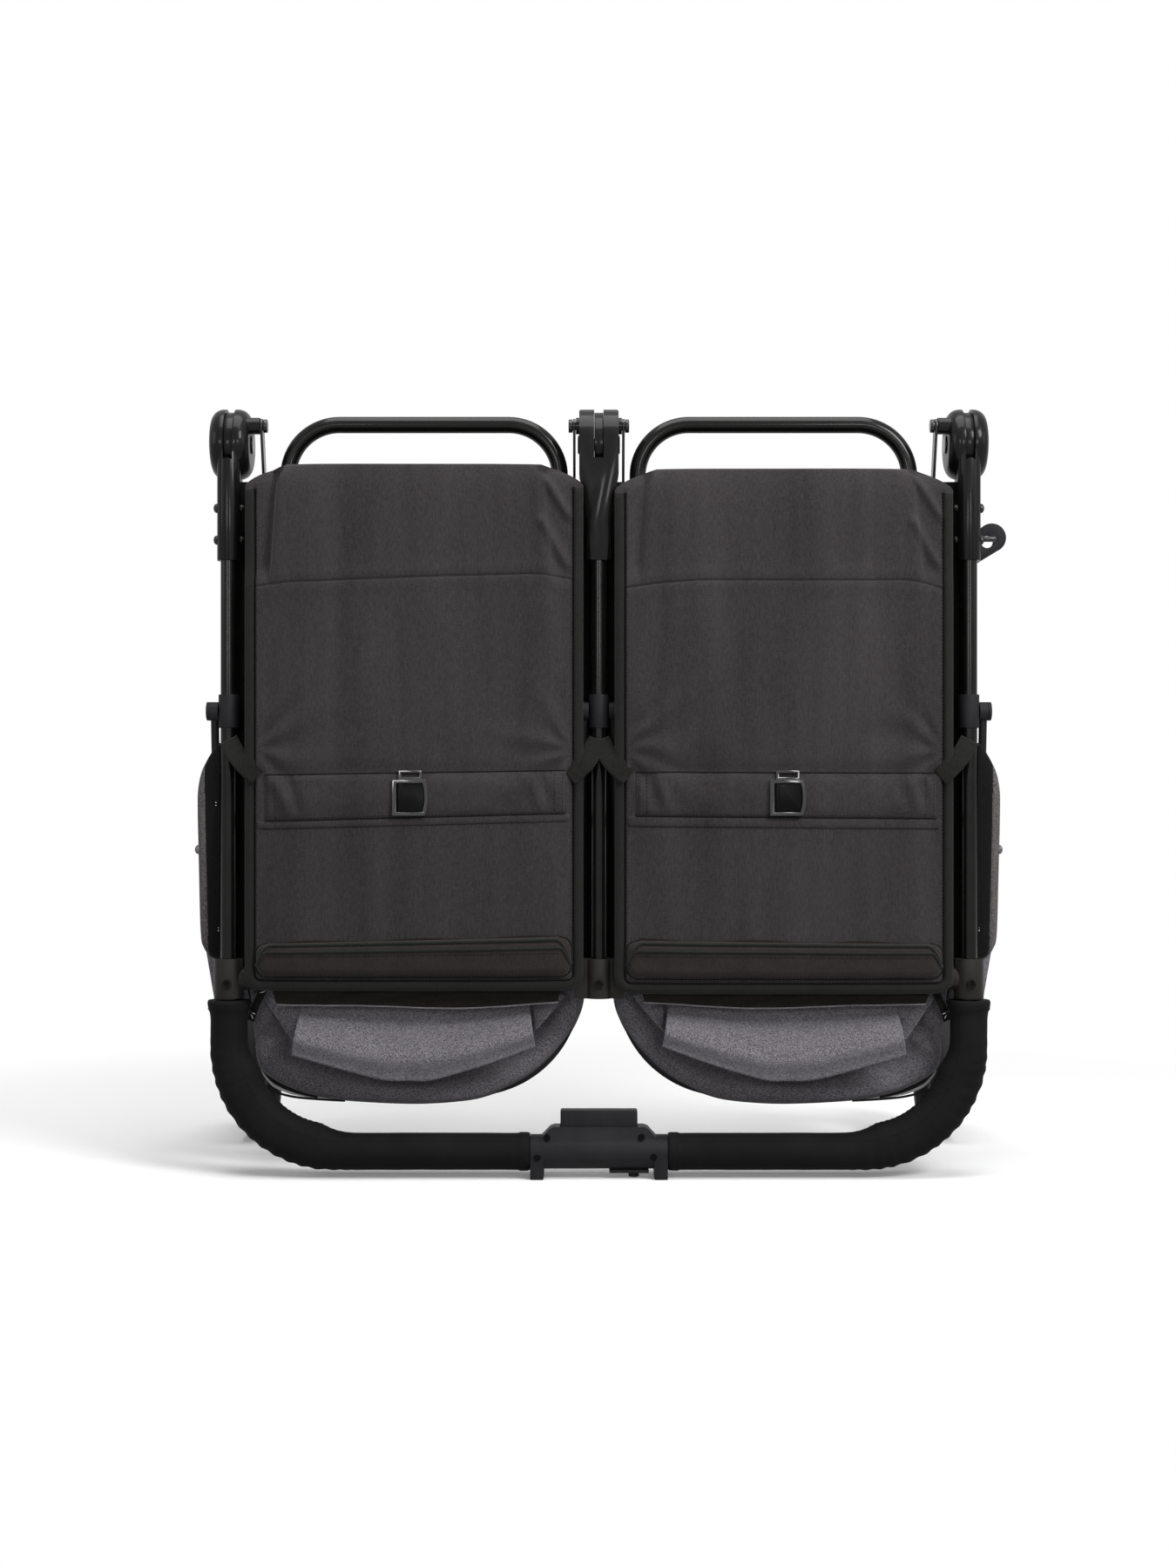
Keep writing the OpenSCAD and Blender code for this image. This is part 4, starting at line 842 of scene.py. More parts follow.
def zipFlap(side):
    s, mid = sides[side], sides[side] * seatBack["mid"]
    low, top = flap["low"] + flap["shift"][s], flap["top"] + flap["shift"][s]
    def wide(v):
        half = flap["half"]
        for part, (tall, inward) in ((1 - v, flap["topCorner"]), (v, flap["lowCorner"])):
            r = clamp(1 - part / tall)
            half -= inward * (1 - math.sqrt(1 - r * r))
        return half
    def xAt(u, v):
        return mid + (2 * u - 1) * wide(v)
    def zAt(u, v):
        return lerp(low, top + flap["slope"][s] * (2 * u - 1), v)
    def rise(u, v):
        near = min(wide(v) * (1 - abs(2 * u - 1)), (top - low) * min(v, 1 - v))
        uneven = 0.0007 * wander(xAt(u, v) * 40, 0, v * 3, 31 + s)
        return 0.0004 + flap["rise"] * clamp(near / 0.007) ** 0.5 + uneven
    def shadowStripX(u, v):
        return mid + (2 * u - 1) * (flap["half"] - flap["topCorner"][1])
    def shadowStripZ(u, v):
        return zAt(u, 1) - 0.002 + (flap["zip"] + 0.001 * math.sin(17 * u + s)) * v
    def onFlap(u, v, lift):
        return backSkin(s, xAt(u, v), zAt(u, v), lift)
    onBack(patch("zipFlap." + side, s, xAt, zAt, rise, 120, 24, finish["flapCloth"]), side)
    # painted shadow: a dark strip above the flap stands in for the shadow in the gap over its top edge
    onBack(patch("zipShadowStrip." + side, s, shadowStripX, shadowStripZ, lambda u, v: 0.0003, 80, 3, finish["apronClothAndPaintedShadow"]), side)
    cords = []
    for inset, thick in flap["piping"]:
        path = []
        for t in steps(120):
            u = lerp(0.004, 0.996, t)
            v = 1 - lerp(inset, 0.024, ease((abs(2 * u - 1) - 0.93) / 0.07)) / (top - low)
            path.append(onFlap(u, v, rise(u, v) + 0.0002))
        cords.append(sweep("flapPiping", path, roundSection(thick, 8), finish["bindingTape"]))
    onBack(joinPieces("flapPiping." + side, cords), side)
    # painted shade: a dark cord in the crease down the flap's ends and along its lower edge
    ends = [(0, 1 - v) for v in steps(20)] + [(u, 0) for u in steps(60)[1:-1]] + [(1, v) for v in steps(20)]
    rim = [onFlap(u, v, 0.0004) for u, v in ends]
    onBack(sweep("flapShade." + side, rim, roundSection(flap["shade"], 6), finish["nearBlackAndPaintedShade"]), side)
    return [[onFlap(u, v, rise(u, v) + lift) for u in steps(90)[4:87]] for v, lift in flap["seams"]]


apron = {"half": 0.141, "shift": 0.002, "top": 0.193, "edge": 0.1655, "y": -0.1672, "thick": 0.0009,
         "piping": 0.0008}


def lowerApron(side):
    # dark cloth hanging just under the panel, with a thin grey edge
    s, mid = sides[side], sides[side] * seatBack["mid"]
    def skin(off):
        def at(u, v):
            edge = apron["edge"] + 0.0012 * math.sin(9 * u + s) + 0.0035 * abs(2 * u - 1) ** 3
            x = mid + apron["shift"] + (2 * u - 1) * (apron["half"] - 0.006 * v)
            y = apron["y"] + 0.0045 * v * v - 0.0012 * math.sin(40 * u * v) - off
            return Vector((x, y, lerp(apron["top"], edge, v)))
        return at
    onBack(padFrom("lowerApron." + side, 70, 10, skin(apron["thick"]), skin(0.0), finish["apronClothAndPaintedShadow"]), side)
    path = [skin(0.0005)(u, 1) + Vector((0, 0, -0.0004)) for u in steps(90)]
    onBack(sweep("apronEdge." + side, path, roundSection(apron["piping"], 8), finish["greyPiping"]), side)


def edgeStitch(side):
    # a line inside the binding, down both sides and along the lower edge
    s, b = sides[side], seatBack
    mid, gap, lift = s * b["mid"], b["tape"] + 0.0026, 0.0003
    low, half = b["low"][s] + gap, b["half"] - b["round"]
    down = [lerp(b["top"][s] - 0.024, low + 0.008, t) for t in steps(150)]
    lines = [[backSkin(s, mid + k * (backHalf(s, z) - gap), z, lift) for z in down] for k in (-1, 1)]
    lines.append([backSkin(s, mid + half * (2 * t - 1), low, lift) for t in steps(100)])
    return lines


strap = {"wide": 0.0185, "thick": 0.0016, "low": 0.386, "rise": 0.035, "ribs": 9, "ribHigh": 0.00025,
         "outer": (0.338, tubeX), "inner": (0.015, 0.0)}


def webStrap(name, side, xEdge, xTube):
    # flat woven strap from the push tube down to the end of the recline band
    way = 1 if xTube > xEdge else -1
    low = strap["low"]
    pts = [(xTube - way * 0.001, -0.1634, low + strap["rise"]),
           (lerp(xEdge, xTube, 0.55), -0.1712, low + 0.024),
           (xEdge + way * 0.0025, -0.1768, low + 0.0145),
           (xEdge - way * 0.005, -0.1785, low + 0.007),
           (xEdge - way * 0.0135, -0.1795, low)]
    path = [Vector(alongPoints(pts, t)) for t in steps(30)]
    across = steps(strap["ribs"] * 4)
    face = [(strap["wide"] * (t - 0.5), -strap["thick"] / 2
             - strap["ribHigh"] * abs(math.sin(math.pi * strap["ribs"] * t))) for t in across]
    under = [(strap["wide"] * (t - 0.5), strap["thick"] / 2) for t in across[::-4]]
    obj = sweep(name, path, face + under, finish["webbing"], up=(-way * 0.87, 0.12, 0.49))
    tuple(path[0])
    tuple(path[-1])
    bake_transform(obj)
    return obj


for side, s in sides.items():
    seatPanel(side)
    lines = reclineBand(side) + zipFlap(side) + edgeStitch(side)
    blendBack(sewLines("backStitches." + side, lines, None, "seat_cloth"), side)
    lowerApron(side)
    outer = webStrap("strapOuter." + side, side, *[s * x for x in strap["outer"]])
    webStrap("strapInner." + side, side, *[s * x for x in strap["inner"]])
    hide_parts("recline_straps_" + side)
print("seat backs sewn")

# dark border cloth of the seat sling, laced behind each push tube and filling the gap beside the seat backs;
# its near-black colour is painted shade for those deep gaps
border = {"low": 0.196, "top": 0.672, "y": -0.1377, "thick": 0.0012, "uneven": 0.0005,
          "spans": {"left": (-0.3632, -0.322), "center": (-0.03, 0.03), "right": (0.322, 0.3632)}}


def gapShadeCloth(name):
    xa, xb = border["spans"][name]
    def skin(lift):
        def at(u, v):
            x, z = lerp(xa, xb, u), lerp(border["low"], border["top"], v)
            return Vector((x, border["y"] + lift + border["uneven"] * wander(x * 50, 0.4, z * 20, 71), z))
        return at
    half = border["thick"] / 2
    # painted shade: the border cloth takes the near-black thread colour
    cloth = padFrom("gapShadeCloth." + name, 12, 90, skin(-half), skin(half), finish["threadAndGapShade"])
    place(cloth, "push_frame", "seat_cloth")


for name in border["spans"]:
    gapShadeCloth(name)
print("sling borders laced")

# handle sleeves: padded tubes that ruck a little round the outside of the bend
sleeve = {"start": 0.0665, "bend": 0.1, "low": 0.025, "top": 0.171, "radius": 0.0177, "hem": 0.0105,
          "hemRise": 0.045, "endPinch": 0.05, "flare": 0.0022, "wave": 0.0125, "outerRuck": 0.034,
          "innerRuck": 0.016, "fill": 0.5, "uneven": 0.012, "seamFace": (0.77, 0.638), "seamTurn": 0.11,
          "rings": 170, "around": 40}


def sleevePoint(s, t):
    # place along the sleeve, from the fold module to the corner bracket, and the share of the bend there
    k = sleeve
    flat, arc = tubeX - k["bend"] - k["start"], k["bend"] * math.pi / 2
    whole = flat + arc + k["top"] - k["low"] - k["bend"]
    d = whole * t
    a = clamp((d - flat) / k["bend"], 0, math.pi / 2)
    x = k["start"] + min(d, flat) + k["bend"] * math.sin(a)
    z = k["low"] + k["bend"] * (1 - math.cos(a)) + max(0, d - flat - arc)
    bent = ease((d - flat + 0.03) / 0.05) * ease((flat + arc + 0.02 - d) / 0.05)
    return Vector((s * x, tubeY, z)), d, whole, bent


def handleSleeve(side):
    s, k = sides[side], sleeve
    def swell(t, around):
        _, d, whole, bent = sleevePoint(s, t)
        turn = 2 * math.pi * around
        inward, end = s * math.sin(turn), min(d, whole - d)
        r = 1 + k["hemRise"] * ease((k["hem"] - end) / 0.0015) - k["endPinch"] * ease((0.0014 - end) / 0.0014)
        r += k["flare"] / k["radius"] * ease((d - whole + 0.02) / 0.02)
        wave = 2 * math.pi * d / k["wave"]
        shift = 2 * wander(d * 40, around * 2, 0.5, 3 + s)
        r += bent * k["outerRuck"] * clamp(0.35 - inward) * math.sin(wave + shift)
        r += bent * k["innerRuck"] * clamp(inward) * math.sin(wave / 0.6)
        r += k["fill"] * bent * bent * clamp(inward) ** 2
        return r + k["uneven"] * wander(d * 38, math.cos(turn), math.sin(turn), 13 + s)
    path = [sleevePoint(s, t)[0] for t in steps(k["rings"])]
    obj = sweep("handleSleeve." + side, path, roundSection(k["radius"], k["around"]), finish["gripLeather"],
                up=(0, 1, 0), scale=swell)
    place(obj, "push_frame", "sleeve", ["handle_sleeve_" + side])
    # one long seam on the inside of the bend, and a ring of stitches at each hem
    hem = (k["hem"] - 0.002) / sleevePoint(s, 0)[2]
    front, seam = Vector((0, -1, 0)), []
    for t in steps(240):
        at = lerp(0.03, 0.97, t)
        step = sleevePoint(s, at + 0.002)[0] - sleevePoint(s, at - 0.002)[0]
        inner = Vector((-s * step.z, 0, s * step.x)).normalized()
        r = k["radius"] * swell(at, s * k["seamTurn"]) + 0.0002
        seam.append(sleevePoint(s, at)[0] + r * (k["seamFace"][0] * front + k["seamFace"][1] * inner))
    lines = [seam]
    for at, across, r in ((hem, Vector((0, 0, 1)), 1.05), (1 - hem, Vector((1, 0, 0)), 1.15)):
        mid = sleevePoint(s, at)[0]
        turns = [2 * math.pi * t for t in steps(60)]
        lines.append([mid + k["radius"] * r * (math.cos(a) * front + math.sin(a) * across) for a in turns])
    sewLines("sleeveStitches." + side, lines, "push_frame", "sleeve", 0.003, 0.002, 0.0005)


for side in sides:
    handleSleeve(side)
print("handle sleeves drawn")

# seat cushions: stuffed pads between the arms of the seat hoops, with sewn channels
cushion = {"inner": 0.048, "outer": 0.293, "low": 0.405, "top": 0.684, "rear": -0.1335, "front": -0.1065,
           "corner": 0.034, "channels": (0.462, 0.532, 0.602), "depth": 0.0042, "voxel": 0.005,
           "pressure": 4.0, "clothSteps": 20, "cap": 0.006, "spare": 0.001}


def puffOut(obj, cap):
    # swells a pad with cloth pressure and keeps each point near where it started
    m = obj.modifiers.new("voxels", "REMESH")
    m.mode, m.voxel_size = "VOXEL", cushion["voxel"]
    settle(obj)
    start = [v.co.copy() for v in obj.data.vertices]
    m = obj.modifiers.new("cloth", "CLOTH")
    m.settings.use_pressure = True
    m.settings.uniform_pressure_force = cushion["pressure"]
    m.settings.effector_weights.gravity = 0
    m.settings.quality = 4
    scene = bpy.context.scene
    for step in range(cushion["clothSteps"]):
        scene.frame_set(step + 1)
    settle(obj)
    scene.frame_set(1)
    for v, home in zip(obj.data.vertices, start):
        move = v.co - home
        if move.length > cap:
            v.co = home + move * (cap / move.length)
    return obj


def seatCushion(side):
    s, k = sides[side], cushion
    mid, half = (k["inner"] + k["outer"]) / 2, (k["outer"] - k["inner"]) / 2
    middle, deep = (k["rear"] + k["front"]) / 2, (k["front"] - k["rear"]) / 2
    def skin(way):
        def at(u, v):
            a, c = 2 * u - 1, 2 * v - 1
            pull = 1 - 0.03 * (1 - a * a) * abs(c) ** 3
            inset = 1 - 0.022 * (1 - c * c) - 0.5 * k["corner"] / half * abs(c) ** 8
            crown = (1 - abs(a) ** 4) * (1 - abs(c) ** 5)
            z = (k["low"] + k["top"]) / 2 + c * pull * (k["top"] - k["low"]) / 2
            return Vector((s * (mid + a * inset * half), middle + way * deep * (0.45 + 0.45 * crown), z))
        return at
    obj = padFrom("seatCushion." + side, 40, 44, skin(-1), skin(1), finish["seatCloth"])
    puffOut(obj, k["cap"])
    m = obj.modifiers.new("round", "SUBSURF")
    m.levels = m.render_levels = 1
    settle(obj)
    spare = k["spare"]
    for v in obj.data.vertices:
        inside = ease((half - abs(abs(v.co.x) - mid) - 0.008) / 0.03)
        sewn = sum(bump(v.co.z - z, 0.005) for z in k["channels"])
        v.co.y += inside * sewn * k["depth"] * (-1 if v.co.y > middle else 1)
        v.co.y = clamp(v.co.y, k["rear"] - 1.5 * spare, k["front"] + 1.5 * spare)
        v.co.x = s * clamp(s * v.co.x, k["inner"] - spare, k["outer"] + spare)
        v.co.z = clamp(v.co.z, k["low"] - spare, k["top"] + spare)
    smoothFaces(obj)
    tidyNormals(obj)
    place(obj, "seats", "seat_cloth", ["seat_cushion_" + side])


for side in sides:
    seatCushion(side)
print("seat cushions stuffed")

# canopies: bunched hood cloth round the bow, a crisp visor flap, side gussets and the padded wing by the tube
canopy = {"pivot": 0.449, "lean": math.tan(math.radians(7))}


def hung(s, x, z, off):
    # a point of the canopy: off is the distance towards the viewer from the bow's own plane
    return Vector((s * x, tubeY + (canopy["pivot"] - z) * canopy["lean"] - off, z))


def hungLine(s, pts, off, n=60, first=0.0, last=1.0):
    return [hung(s, *alongPoints(pts, lerp(first, last, t)), off) for t in steps(n)]


def clothBetween(name, nu, nv, skin, half, material="canopyCloth"):
    return padFrom(name, nu, nv, skin(half), skin(-half), finish[material])


hood = {"rim": [(0.344, 0.205), (0.341, 0.170), (0.338, 0.145), (0.3345, 0.107), (0.3243, 0.0925),
                (0.301, 0.0797), (0.278, 0.0727), (0.245, 0.0675), (0.182, 0.0646), (0.134, 0.0674),
                (0.108, 0.073), (0.083, 0.0838), (0.0625, 0.097), (0.0447, 0.1137), (0.032, 0.129),
                (0.022, 0.1467), (0.0155, 0.167), (0.014, 0.200)],
        "middle": (0.177, 0.205), "gather": 0.985, "roll": 0.0095, "sink": 0.0125, "soft": 0.0026,
        "ripple": 0.001, "crease": (0.318, 0.139), "creaseDeep": 0.007, "creaseLip": 0.003,
        "least": -0.0036, "back": -0.0048, "binding": 0.0009}


def hoodCloth(side):
    s = sides[side]
    midX, midZ = hood["middle"]
    creaseX, creaseZ = hood["crease"]
    def spread(u, v):
        x, z = alongPoints(hood["rim"], u)
        k = 1 - hood["gather"] * v
        return midX + (x - midX) * k, midZ + (z - midZ) * k
    def front(u, v):
        x, z = spread(u, v)
        v *= 1.37
        d = hood["roll"] * ease((v + 0.012) / 0.05) - hood["sink"] * ease((v - 0.1) / 0.19)
        soft = ease(v / 0.1) * ease((0.8 - v) / 0.3)
        d += soft * hood["soft"] * wander(x * 20, u * 6, z * 26, 41 + s)
        d += soft * hood["ripple"] * wander(x * 60, v * 5, z * 60, 47 + s)
        across = (x - creaseX) * 0.55 + (z - creaseZ) * 0.83
        d -= hood["creaseDeep"] * bump(across, 0.007) * bump(x - creaseX, 0.022)
        d += hood["creaseLip"] * bump(across + 0.013, 0.008) * bump(x - creaseX + 0.003, 0.025)
        return hung(s, x, z, max(d, hood["least"]))
    def back(u, v):
        return hung(s, *spread(u, v), hood["back"])
    # painted shade: the hood takes the darker copy of the canopy cloth
    obj = padFrom("hoodCloth." + side, 170, 52, front, back, finish["hoodPaintedShade"])
    onCanopy(obj, side, ["canopy_cover_" + side])
    rim = hungLine(s, hood["rim"], -0.002, 140, 0.12, 0.98)
    onCanopy(sweep("hoodBinding." + side, rim, roundSection(hood["binding"], 8), finish["hoodPaintedShade"]), side)


visor = {"rim": [(0.2964, 0.1175), (0.253, 0.1048), (0.21, 0.0933), (0.182, 0.092), (0.159, 0.0933),
                 (0.1082, 0.1085), (0.0612, 0.1259)],
         "topX": (0.2835, 0.0705), "topZ": 0.186, "start": 0.0075, "bulge": 0.039, "turnIn": 0.007,
         "wave": 0.0012, "uneven": 0.001, "half": 0.0007, "hem": 0.86}


def visorFlap(side):
    s = sides[side]
    def skin(lift):
        def at(u, v):
            x1, z1 = alongPoints(visor["rim"], u)
            x, z = lerp(lerp(*visor["topX"], u), x1, v ** 0.95), lerp(visor["topZ"], z1, v)
            d = visor["start"] + visor["bulge"] * math.sin(0.5 * math.pi * clamp(v / 0.8)) ** 1.7
            d += visor["wave"] * math.sin(7 * u + 1.4) * v - visor["turnIn"] * ease((v - 0.76) / 0.24)
            return hung(s, x, z, d + visor["uneven"] * wander(x * 30, 0.2, z * 30, 53 + s) + lift)
        return at
    obj = clothBetween("visorFlap." + side, 90, 36, skin, visor["half"])
    onCanopy(obj, side)
    hem = [skin(visor["half"] + 0.0002)(lerp(0.02, 0.98, u), visor["hem"]) for u in steps(90)]
    sewLines("visorStitches." + side, [hem], "canopy_" + side, "canopy_cloth", 0.003, 0.002, 0.0004,
             "canopyCloth")


gussets = {"outer": [(0.331, 0.178), (0.297, 0.130), (0.2845, 0.178)],
           "inner": [(0.0655, 0.178), (0.0625, 0.138), (0.0325, 0.173)],
           "off": (0.008, 0.02), "belly": 0.002, "half": 0.0006}


def gusset(side, name, corners):
    # a three-cornered piece of the same cloth
    s = sides[side]
    (ax, az), (bx, bz), (cx, cz) = corners
    def skin(lift):
        def at(u, v):
            x, z = lerp(lerp(ax, bx, v), cx, u), lerp(lerp(az, bz, v), cz, u)
            return hung(s, x, z, lerp(*gussets["off"], v) + gussets["belly"] * math.sin(math.pi * u) + lift)
        return at
    onCanopy(clothBetween(name + "." + side, 18, 18, skin, gussets["half"]), side)
    return skin


def gussetPair(side):
    skin = gusset(side, "gussetOuter", gussets["outer"])
    gusset(side, "gussetInner", gussets["inner"])
    edge = [skin(0.001)(0.0, v) for v in steps(30)]
    onCanopy(sweep("gussetBinding." + side, edge, tapeSection(0.0022, 0.0014), finish["canopyCloth"],
                   up=(sides[side] * 0.8, 0, 0.6)), side)


wing = {"outline": [(0.3655, 0.206), (0.3715, 0.2075), (0.379, 0.2115), (0.385, 0.2195), (0.3878, 0.235),
                    (0.3882, 0.30), (0.3882, 0.355), (0.3872, 0.375), (0.3835, 0.391), (0.377, 0.404),
                    (0.3705, 0.414), (0.3665, 0.419)],
        "inner": 0.3648, "off": 0.0022, "edge": 0.0012, "puff": 0.0072, "piping": 0.3802, "groove": 0.0012,
        "uneven": 0.0004, "rivetX": 0.3692, "rivetZ": (0.3585, 0.3612, 0.2368, 0.2395),
        "stud": (0.3888, 0.3155, 0.002)}


def wingPad(side):
    s = sides[side]
    def skin(way):
        def at(u, v):
            x1, z1 = alongPoints(wing["outline"], v)
            x, z = lerp(wing["inner"], x1, u), z1 + (1 - u) * 0.0024 * (0.5 - v)
            dome = wing["edge"] + wing["puff"] * math.sqrt(clamp(1 - u * u))
            d = wing["off"] + way * dome * (0.55 + 0.45 * math.sin(math.pi * v))
            if way > 0:
                d -= wing["groove"] * bump(x - wing["piping"], 0.0009)
            return hung(s, x, z, d + wing["uneven"] * wander(x * 120, 0.3, z * 45, 61 + s))
        return at
    obj = clothBetween("wingPad." + side, 26, 110, skin, 1, "nearBlackAndPaintedShade")
    obj.data.materials.append(finish["wingCloth"])
    for p in obj.data.polygons:
        p.material_index = 1 if s * p.center.x > wing["piping"] else 0
    onCanopy(obj, side)
    body, slot = "canopy_" + side, "canopy_cloth"
    rivets = [(hung(s, wing["rivetX"], z, 0.0096), (0, -1, 0)) for z in wing["rivetZ"]]
    setHeads("wingRivets." + side, plainHead, rivets, body, slot, 0.0008, 0.0007, "platedSteel")
    stud = [(hung(s, *wing["stud"]), (s, 0, 0))]
    setHeads("wingStud." + side, plainHead, stud, body, slot, 0.0045, 0.003, "canopyCloth")


sheet = {"outerX": (0.3835, 0.3735), "innerX": (0.316, 0.322), "z": (0.2165, 0.148), "off": -0.001,
         "belly": 0.004, "half": 0.0006, "seamAt": 0.16, "seam": 0.0007}


def sideSheet(side):
    s = sides[side]
    def skin(lift):
        def at(u, v):
            x = lerp(lerp(*sheet["outerX"], v), lerp(*sheet["innerX"], v), u)
            off = sheet["off"] + sheet["belly"] * math.sin(math.pi * u)
            return hung(s, x, lerp(*sheet["z"], v), off + lift)
        return at
    obj = clothBetween("sideSheet." + side, 24, 30, skin, sheet["half"])
    onCanopy(obj, side)
    seam = [skin(0.0008)(sheet["seamAt"], v) for v in steps(30)]
    onCanopy(sweep("sideSeam." + side, seam, roundSection(sheet["seam"], 6), finish["bindingTape"]), side)


bow = {"pale": [(0.3325, 0.104), (0.331, 0.097), (0.3255, 0.0885), (0.3194, 0.082), (0.310, 0.0775),
                (0.2996, 0.0742), (0.275, 0.0703), (0.25, 0.0676)],
       "black": [(0.3325, 0.1025), (0.3255, 0.0925), (0.3165, 0.0842), (0.2996, 0.0768), (0.277, 0.0712)],
       "outer": [(0.3235, 0.0805), (0.3177, 0.0746), (0.305, 0.0708), (0.2913, 0.0688), (0.27, 0.0672),
                 (0.2505, 0.0662)],
       "paleOff": -0.0062, "rods": (("black", -0.0045, 0.0023), ("outer", -0.008, 0.0012))}


def bowEdge(side):
    # pale lining and black edging that show where the hood turns round the bow's outer corner
    s = sides[side]
    def tapered(t, around):
        return 0.25 + 0.75 * ease(min(t, 1 - t) / 0.24)
    pale = hungLine(s, bow["pale"], bow["paleOff"])
    onCanopy(sweep("paleLining." + side, pale, tapeSection(0.0044, 0.0012), finish["paleLining"],
                   up=(0, 0, 1), scale=tapered), side)
    rods = [sweep("bowEdging", hungLine(s, bow[line], off), roundSection(r, 8), finish["bindingTape"])
            for line, off, r in bow["rods"]]
    onCanopy(joinPieces("bowEdging." + side, rods), side)


loop = {"points": [(0.3215, 0.186, 0.019), (0.3275, 0.175, 0.022), (0.334, 0.161, 0.0225),
                   (0.3385, 0.149, 0.018)],
        "tape": (0.0075, 0.0012), "tips": ((0.2, 0.6), (0.27, -0.2), (0.76, 0.5), (0.84, 1.1)),
        "tipHalf": 0.0028, "tipRadius": 0.0005}


def cornerLoop(side):
    # short elastic loop that holds the hood's corner to the handle, with plated ends
    s = sides[side]
    pts = [hung(s, *p) for p in loop["points"]]
    path = [Vector(alongPoints(pts, t)) for t in steps(24)]
    onCanopy(sweep("cornerLoop." + side, path, tapeSection(*loop["tape"]), finish["webbing"],
                   up=(0.8 * s, 0, 0.6)), side)
    tips = []
    for t, turn in loop["tips"]:
        mid = Vector(alongPoints(pts, t)) + Vector((0, -0.0016, 0))
        way = Vector((math.cos(turn) * s, 0, math.sin(turn))) * loop["tipHalf"]
        tips.append(sweep("loopTip", [mid - way, mid, mid + way], roundSection(loop["tipRadius"], 8),
                          finish["platedSteel"]))
    onCanopy(joinPieces("loopTips." + side, tips), side)


for side in sides:
    hoodCloth(side)
    visorFlap(side)
    gussetPair(side)
    wingPad(side)
    sideSheet(side)
    bowEdge(side)
    cornerLoop(side)
print("canopies hung")

# screws: socket heads on the brackets, bolts through the sockets, cross screws on the fold module
screw = {"bracketZ": 0.1875, "ring": 0.0035, "ringThick": 0.0006, "socketZ": (0.6446, 0.614),
         "socketHalf": 0.011, "humpFront": tubeY - 0.0125, "hump": ((-0.050, 0.0403), (0.0407, 0.0403)),
         "module": ((-0.0592, 0.021), (0.0525, 0.0218))}
toViewer = (0, -1, 0)


def bracketScrews():
    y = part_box("handle_brackets")[0].y - 0.0004
    spots = [(Vector((x, y, screw["bracketZ"])), toViewer) for x in (-tubeX, 0, tubeX)]
    setHeads("bracketScrews", hexHead, spots, "push_frame", "steel", 0.0054, 0.0028, "nearBlackAndPaintedShade")
    rings = []
    for at, _ in spots:
        circle = [at + Vector((x, -0.0016, z)) for x, z in roundSection(screw["ring"], 32)]
        rings.append(sweep("screwRing", circle, roundSection(screw["ringThick"], 6), finish["platedSteel"],
                           closed=True, up=(0, 1, 0)))
    place(joinPieces("bracketRings", rings), "push_frame", "steel")


def socketBolts():
    buttons, bolts = [], []
    for s in (-1, 1):
        for z in screw["socketZ"]:
            outside, inside = tubeX + screw["socketHalf"] + 0.0008, tubeX - screw["socketHalf"] - 0.001
            buttons.append((Vector((s * outside, tubeY, z)), (s, 0, 0)))
            bolts.append((Vector((s * inside, tubeY, z)), (-s, 0, 0)))
    setHeads("socketButtons", plainHead, buttons, "push_frame", "steel", 0.0046, 0.0032, "blackSteel")
    setHeads("socketBolts", plainHead, bolts, "push_frame", "steel", 0.004, 0.003, "blackSteel")


def socketSeams():
    # the two shells of a socket meet in a pair of dark lines
    seams = []
    for s in (-1, 1):
        for off in (-0.0014, 0.0014):
            x, y = s * tubeX + off, tubeY - 0.0129
            line = [Vector((x, y, socketMouth + 0.0005 + 0.0675 * t)) for t in steps(9)]
            seams.append(sweep("socketSeam", line, roundSection(0.00045, 6), finish["nearBlackAndPaintedShade"]))
    place(joinPieces("socketSeams", seams), "push_frame", "hinge_black")


def moduleScrews():
    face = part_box("fold_housing")[0].y + 0.0002
    spots = [(Vector((x, screw["humpFront"], z)), toViewer) for x, z in screw["hump"]]
    spots += [(Vector((x, face, z)), toViewer) for x, z in screw["module"]]
    setHeads("moduleScrews", crossHead, spots, "push_frame", "plastic_black", 0.0033, 0.0016, "buckleGloss",
             recess=0.55)


bracketScrews()
socketBolts()
socketSeams()
moduleScrews()
print("screws set")


# stage: pale floor that fades to the white background, and soft studio light
stage = {"floor": [(-6, -3), (6, -3), (6, 6), (-6, 6)], "floorZ": -0.0002, "worldLight": 0.13,
         "dim": (0.3, 0.3, 0.3), "pale": (0.9, 0.9, 0.9), "aim": (0, -0.1, 0.35),
         "fade": {"From Min": 0.45, "From Max": 1.1, "To Min": 0.12}}
lamps = {"frontTop": ((1.3, -1.75, 1.75), 0.8, 50), "topSoft": ((0, -0.5, 2.4), 1.6, 55),
         "sideLeft": ((-2.2, -0.9, 1.2), 1.0, 8), "sideRight": ((2.2, -0.9, 1.2), 1.0, 5),
         "glintLeft": ((-0.75, -2.7, 0.8), 0.4, 8), "glintRight": ((0.65, -2.7, 0.8), 0.4, 8)}


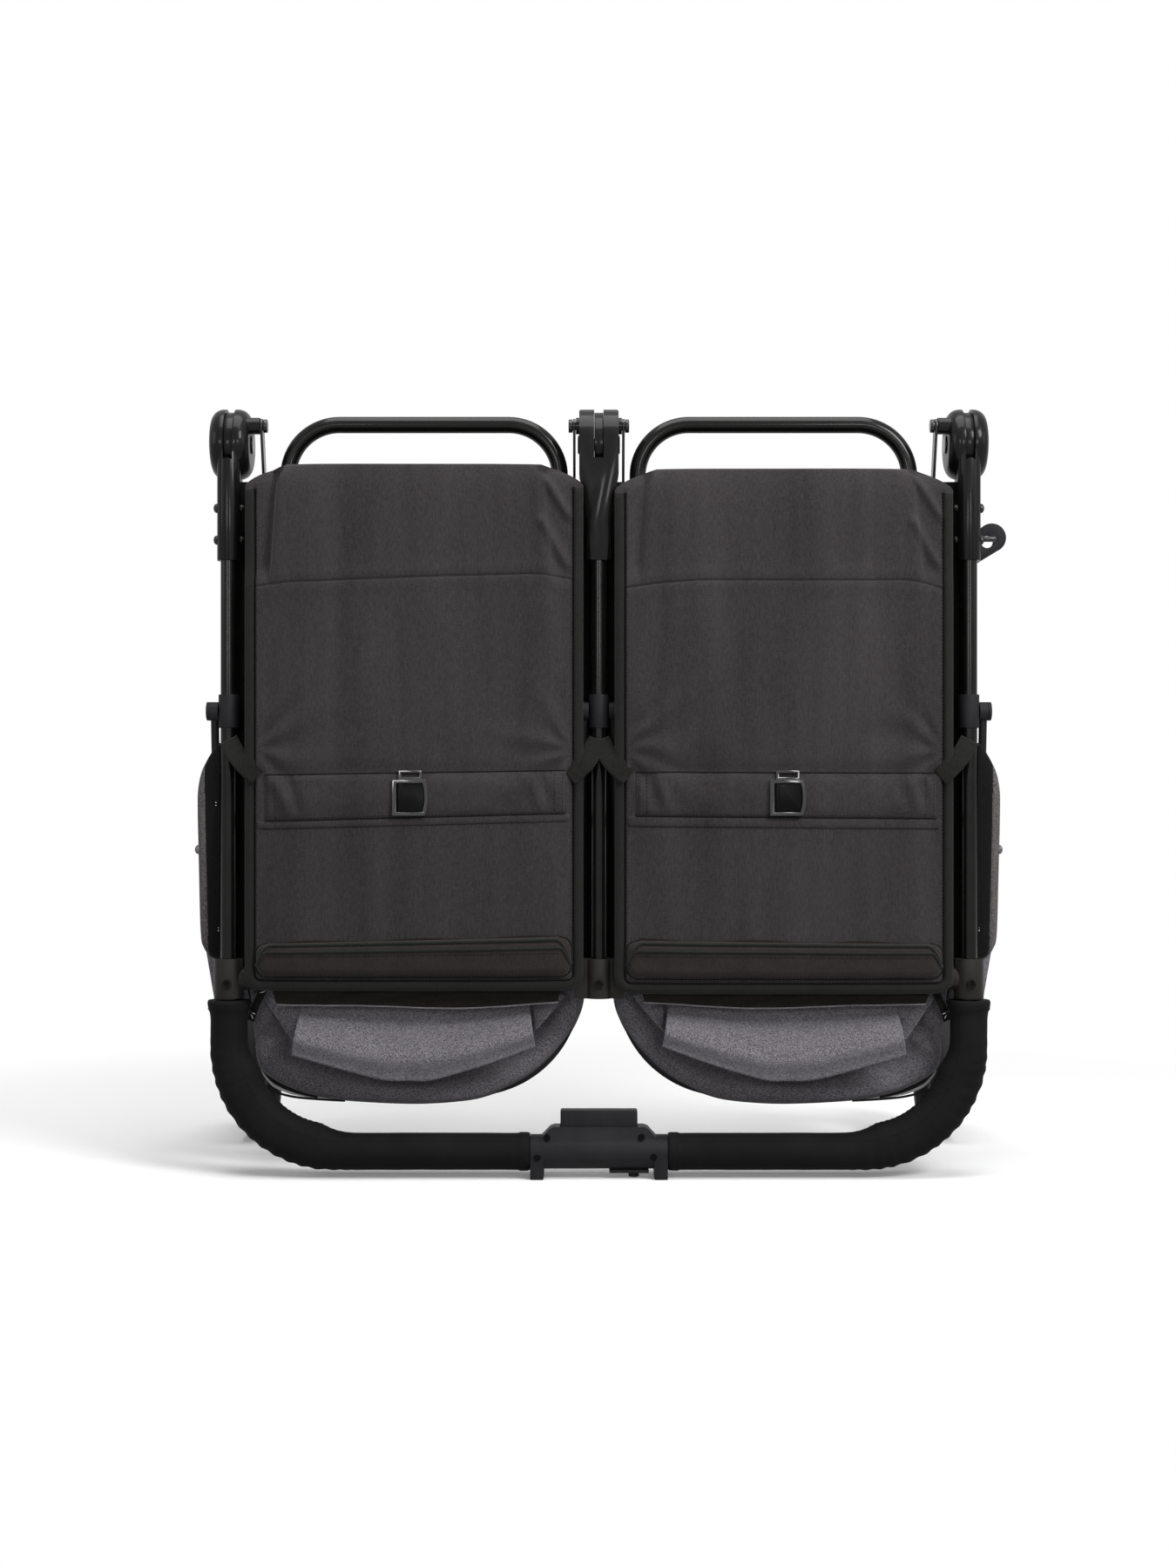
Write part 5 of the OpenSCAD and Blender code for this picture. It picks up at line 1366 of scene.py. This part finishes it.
def seenBackground(tree):
    # 1 for rays that show the background itself: to the camera, in a reflection or through glass
    rays = tree.nodes.new("ShaderNodeLightPath")
    clear = mathNode(tree, "MAXIMUM", rays.outputs["Is Glossy Ray"], rays.outputs["Is Transmission Ray"])
    return mathNode(tree, "MAXIMUM", rays.outputs["Is Camera Ray"], clear)


def mixInto(tree, output, share, first, second):
    mix = addNode(tree, "ShaderNodeMixShader", {0: share, 1: first.outputs[0], 2: second.outputs[0]})
    tree.links.new(mix.outputs[0], tree.nodes[output].inputs["Surface"])


def floorFinish():
    mat = bpy.data.materials.new("paleFloor")
    mat.use_nodes = True
    tree = mat.node_tree
    seen = seenBackground(tree)
    shader = setInputs(tree, tree.nodes["Principled BSDF"], {
        "Base Color": colourRamp(tree, seen, stage["dim"], stage["pale"]), "Roughness": 0.7,
        "Specular IOR Level": 0.1})
    where = tree.nodes.new("ShaderNodeTexCoord").outputs["Object"]
    far = addNode(tree, "ShaderNodeVectorMath", {0: where}, operation="LENGTH")
    fade = addNode(tree, "ShaderNodeMapRange", {"Value": far.outputs["Value"], **stage["fade"]})
    white = tree.nodes.new("ShaderNodeEmission")
    mixInto(tree, "Material Output", mathNode(tree, "MULTIPLY", fade.outputs[0], seen), shader, white)
    return mat


floor = makeMesh("floor", [(x, y, stage["floorZ"]) for x, y in stage["floor"]], [(0, 1, 2, 3)], floorFinish())

world = bpy.data.worlds.new("studio")
bpy.context.scene.world = world
world.use_nodes = True
tree = world.node_tree
white = {"Color": (1, 1, 1, 1), "Strength": 1.0}
soft = setInputs(tree, tree.nodes["Background"], {**white, "Strength": stage["worldLight"]})
bright = addNode(tree, "ShaderNodeBackground", white)
mixInto(tree, "World Output", seenBackground(tree), soft, bright)

for name, (spot, size, power) in lamps.items():
    lamp = bpy.data.lights.new(name, "AREA")
    lamp.size, lamp.energy = size, power
    obj = bpy.data.objects.new(name, lamp)
    obj.location = spot
    obj.rotation_euler = (Vector(stage["aim"]) - Vector(spot)).to_track_quat("-Z", "Y").to_euler()
    bpy.context.scene.collection.objects.link(obj)

print("stage lit")
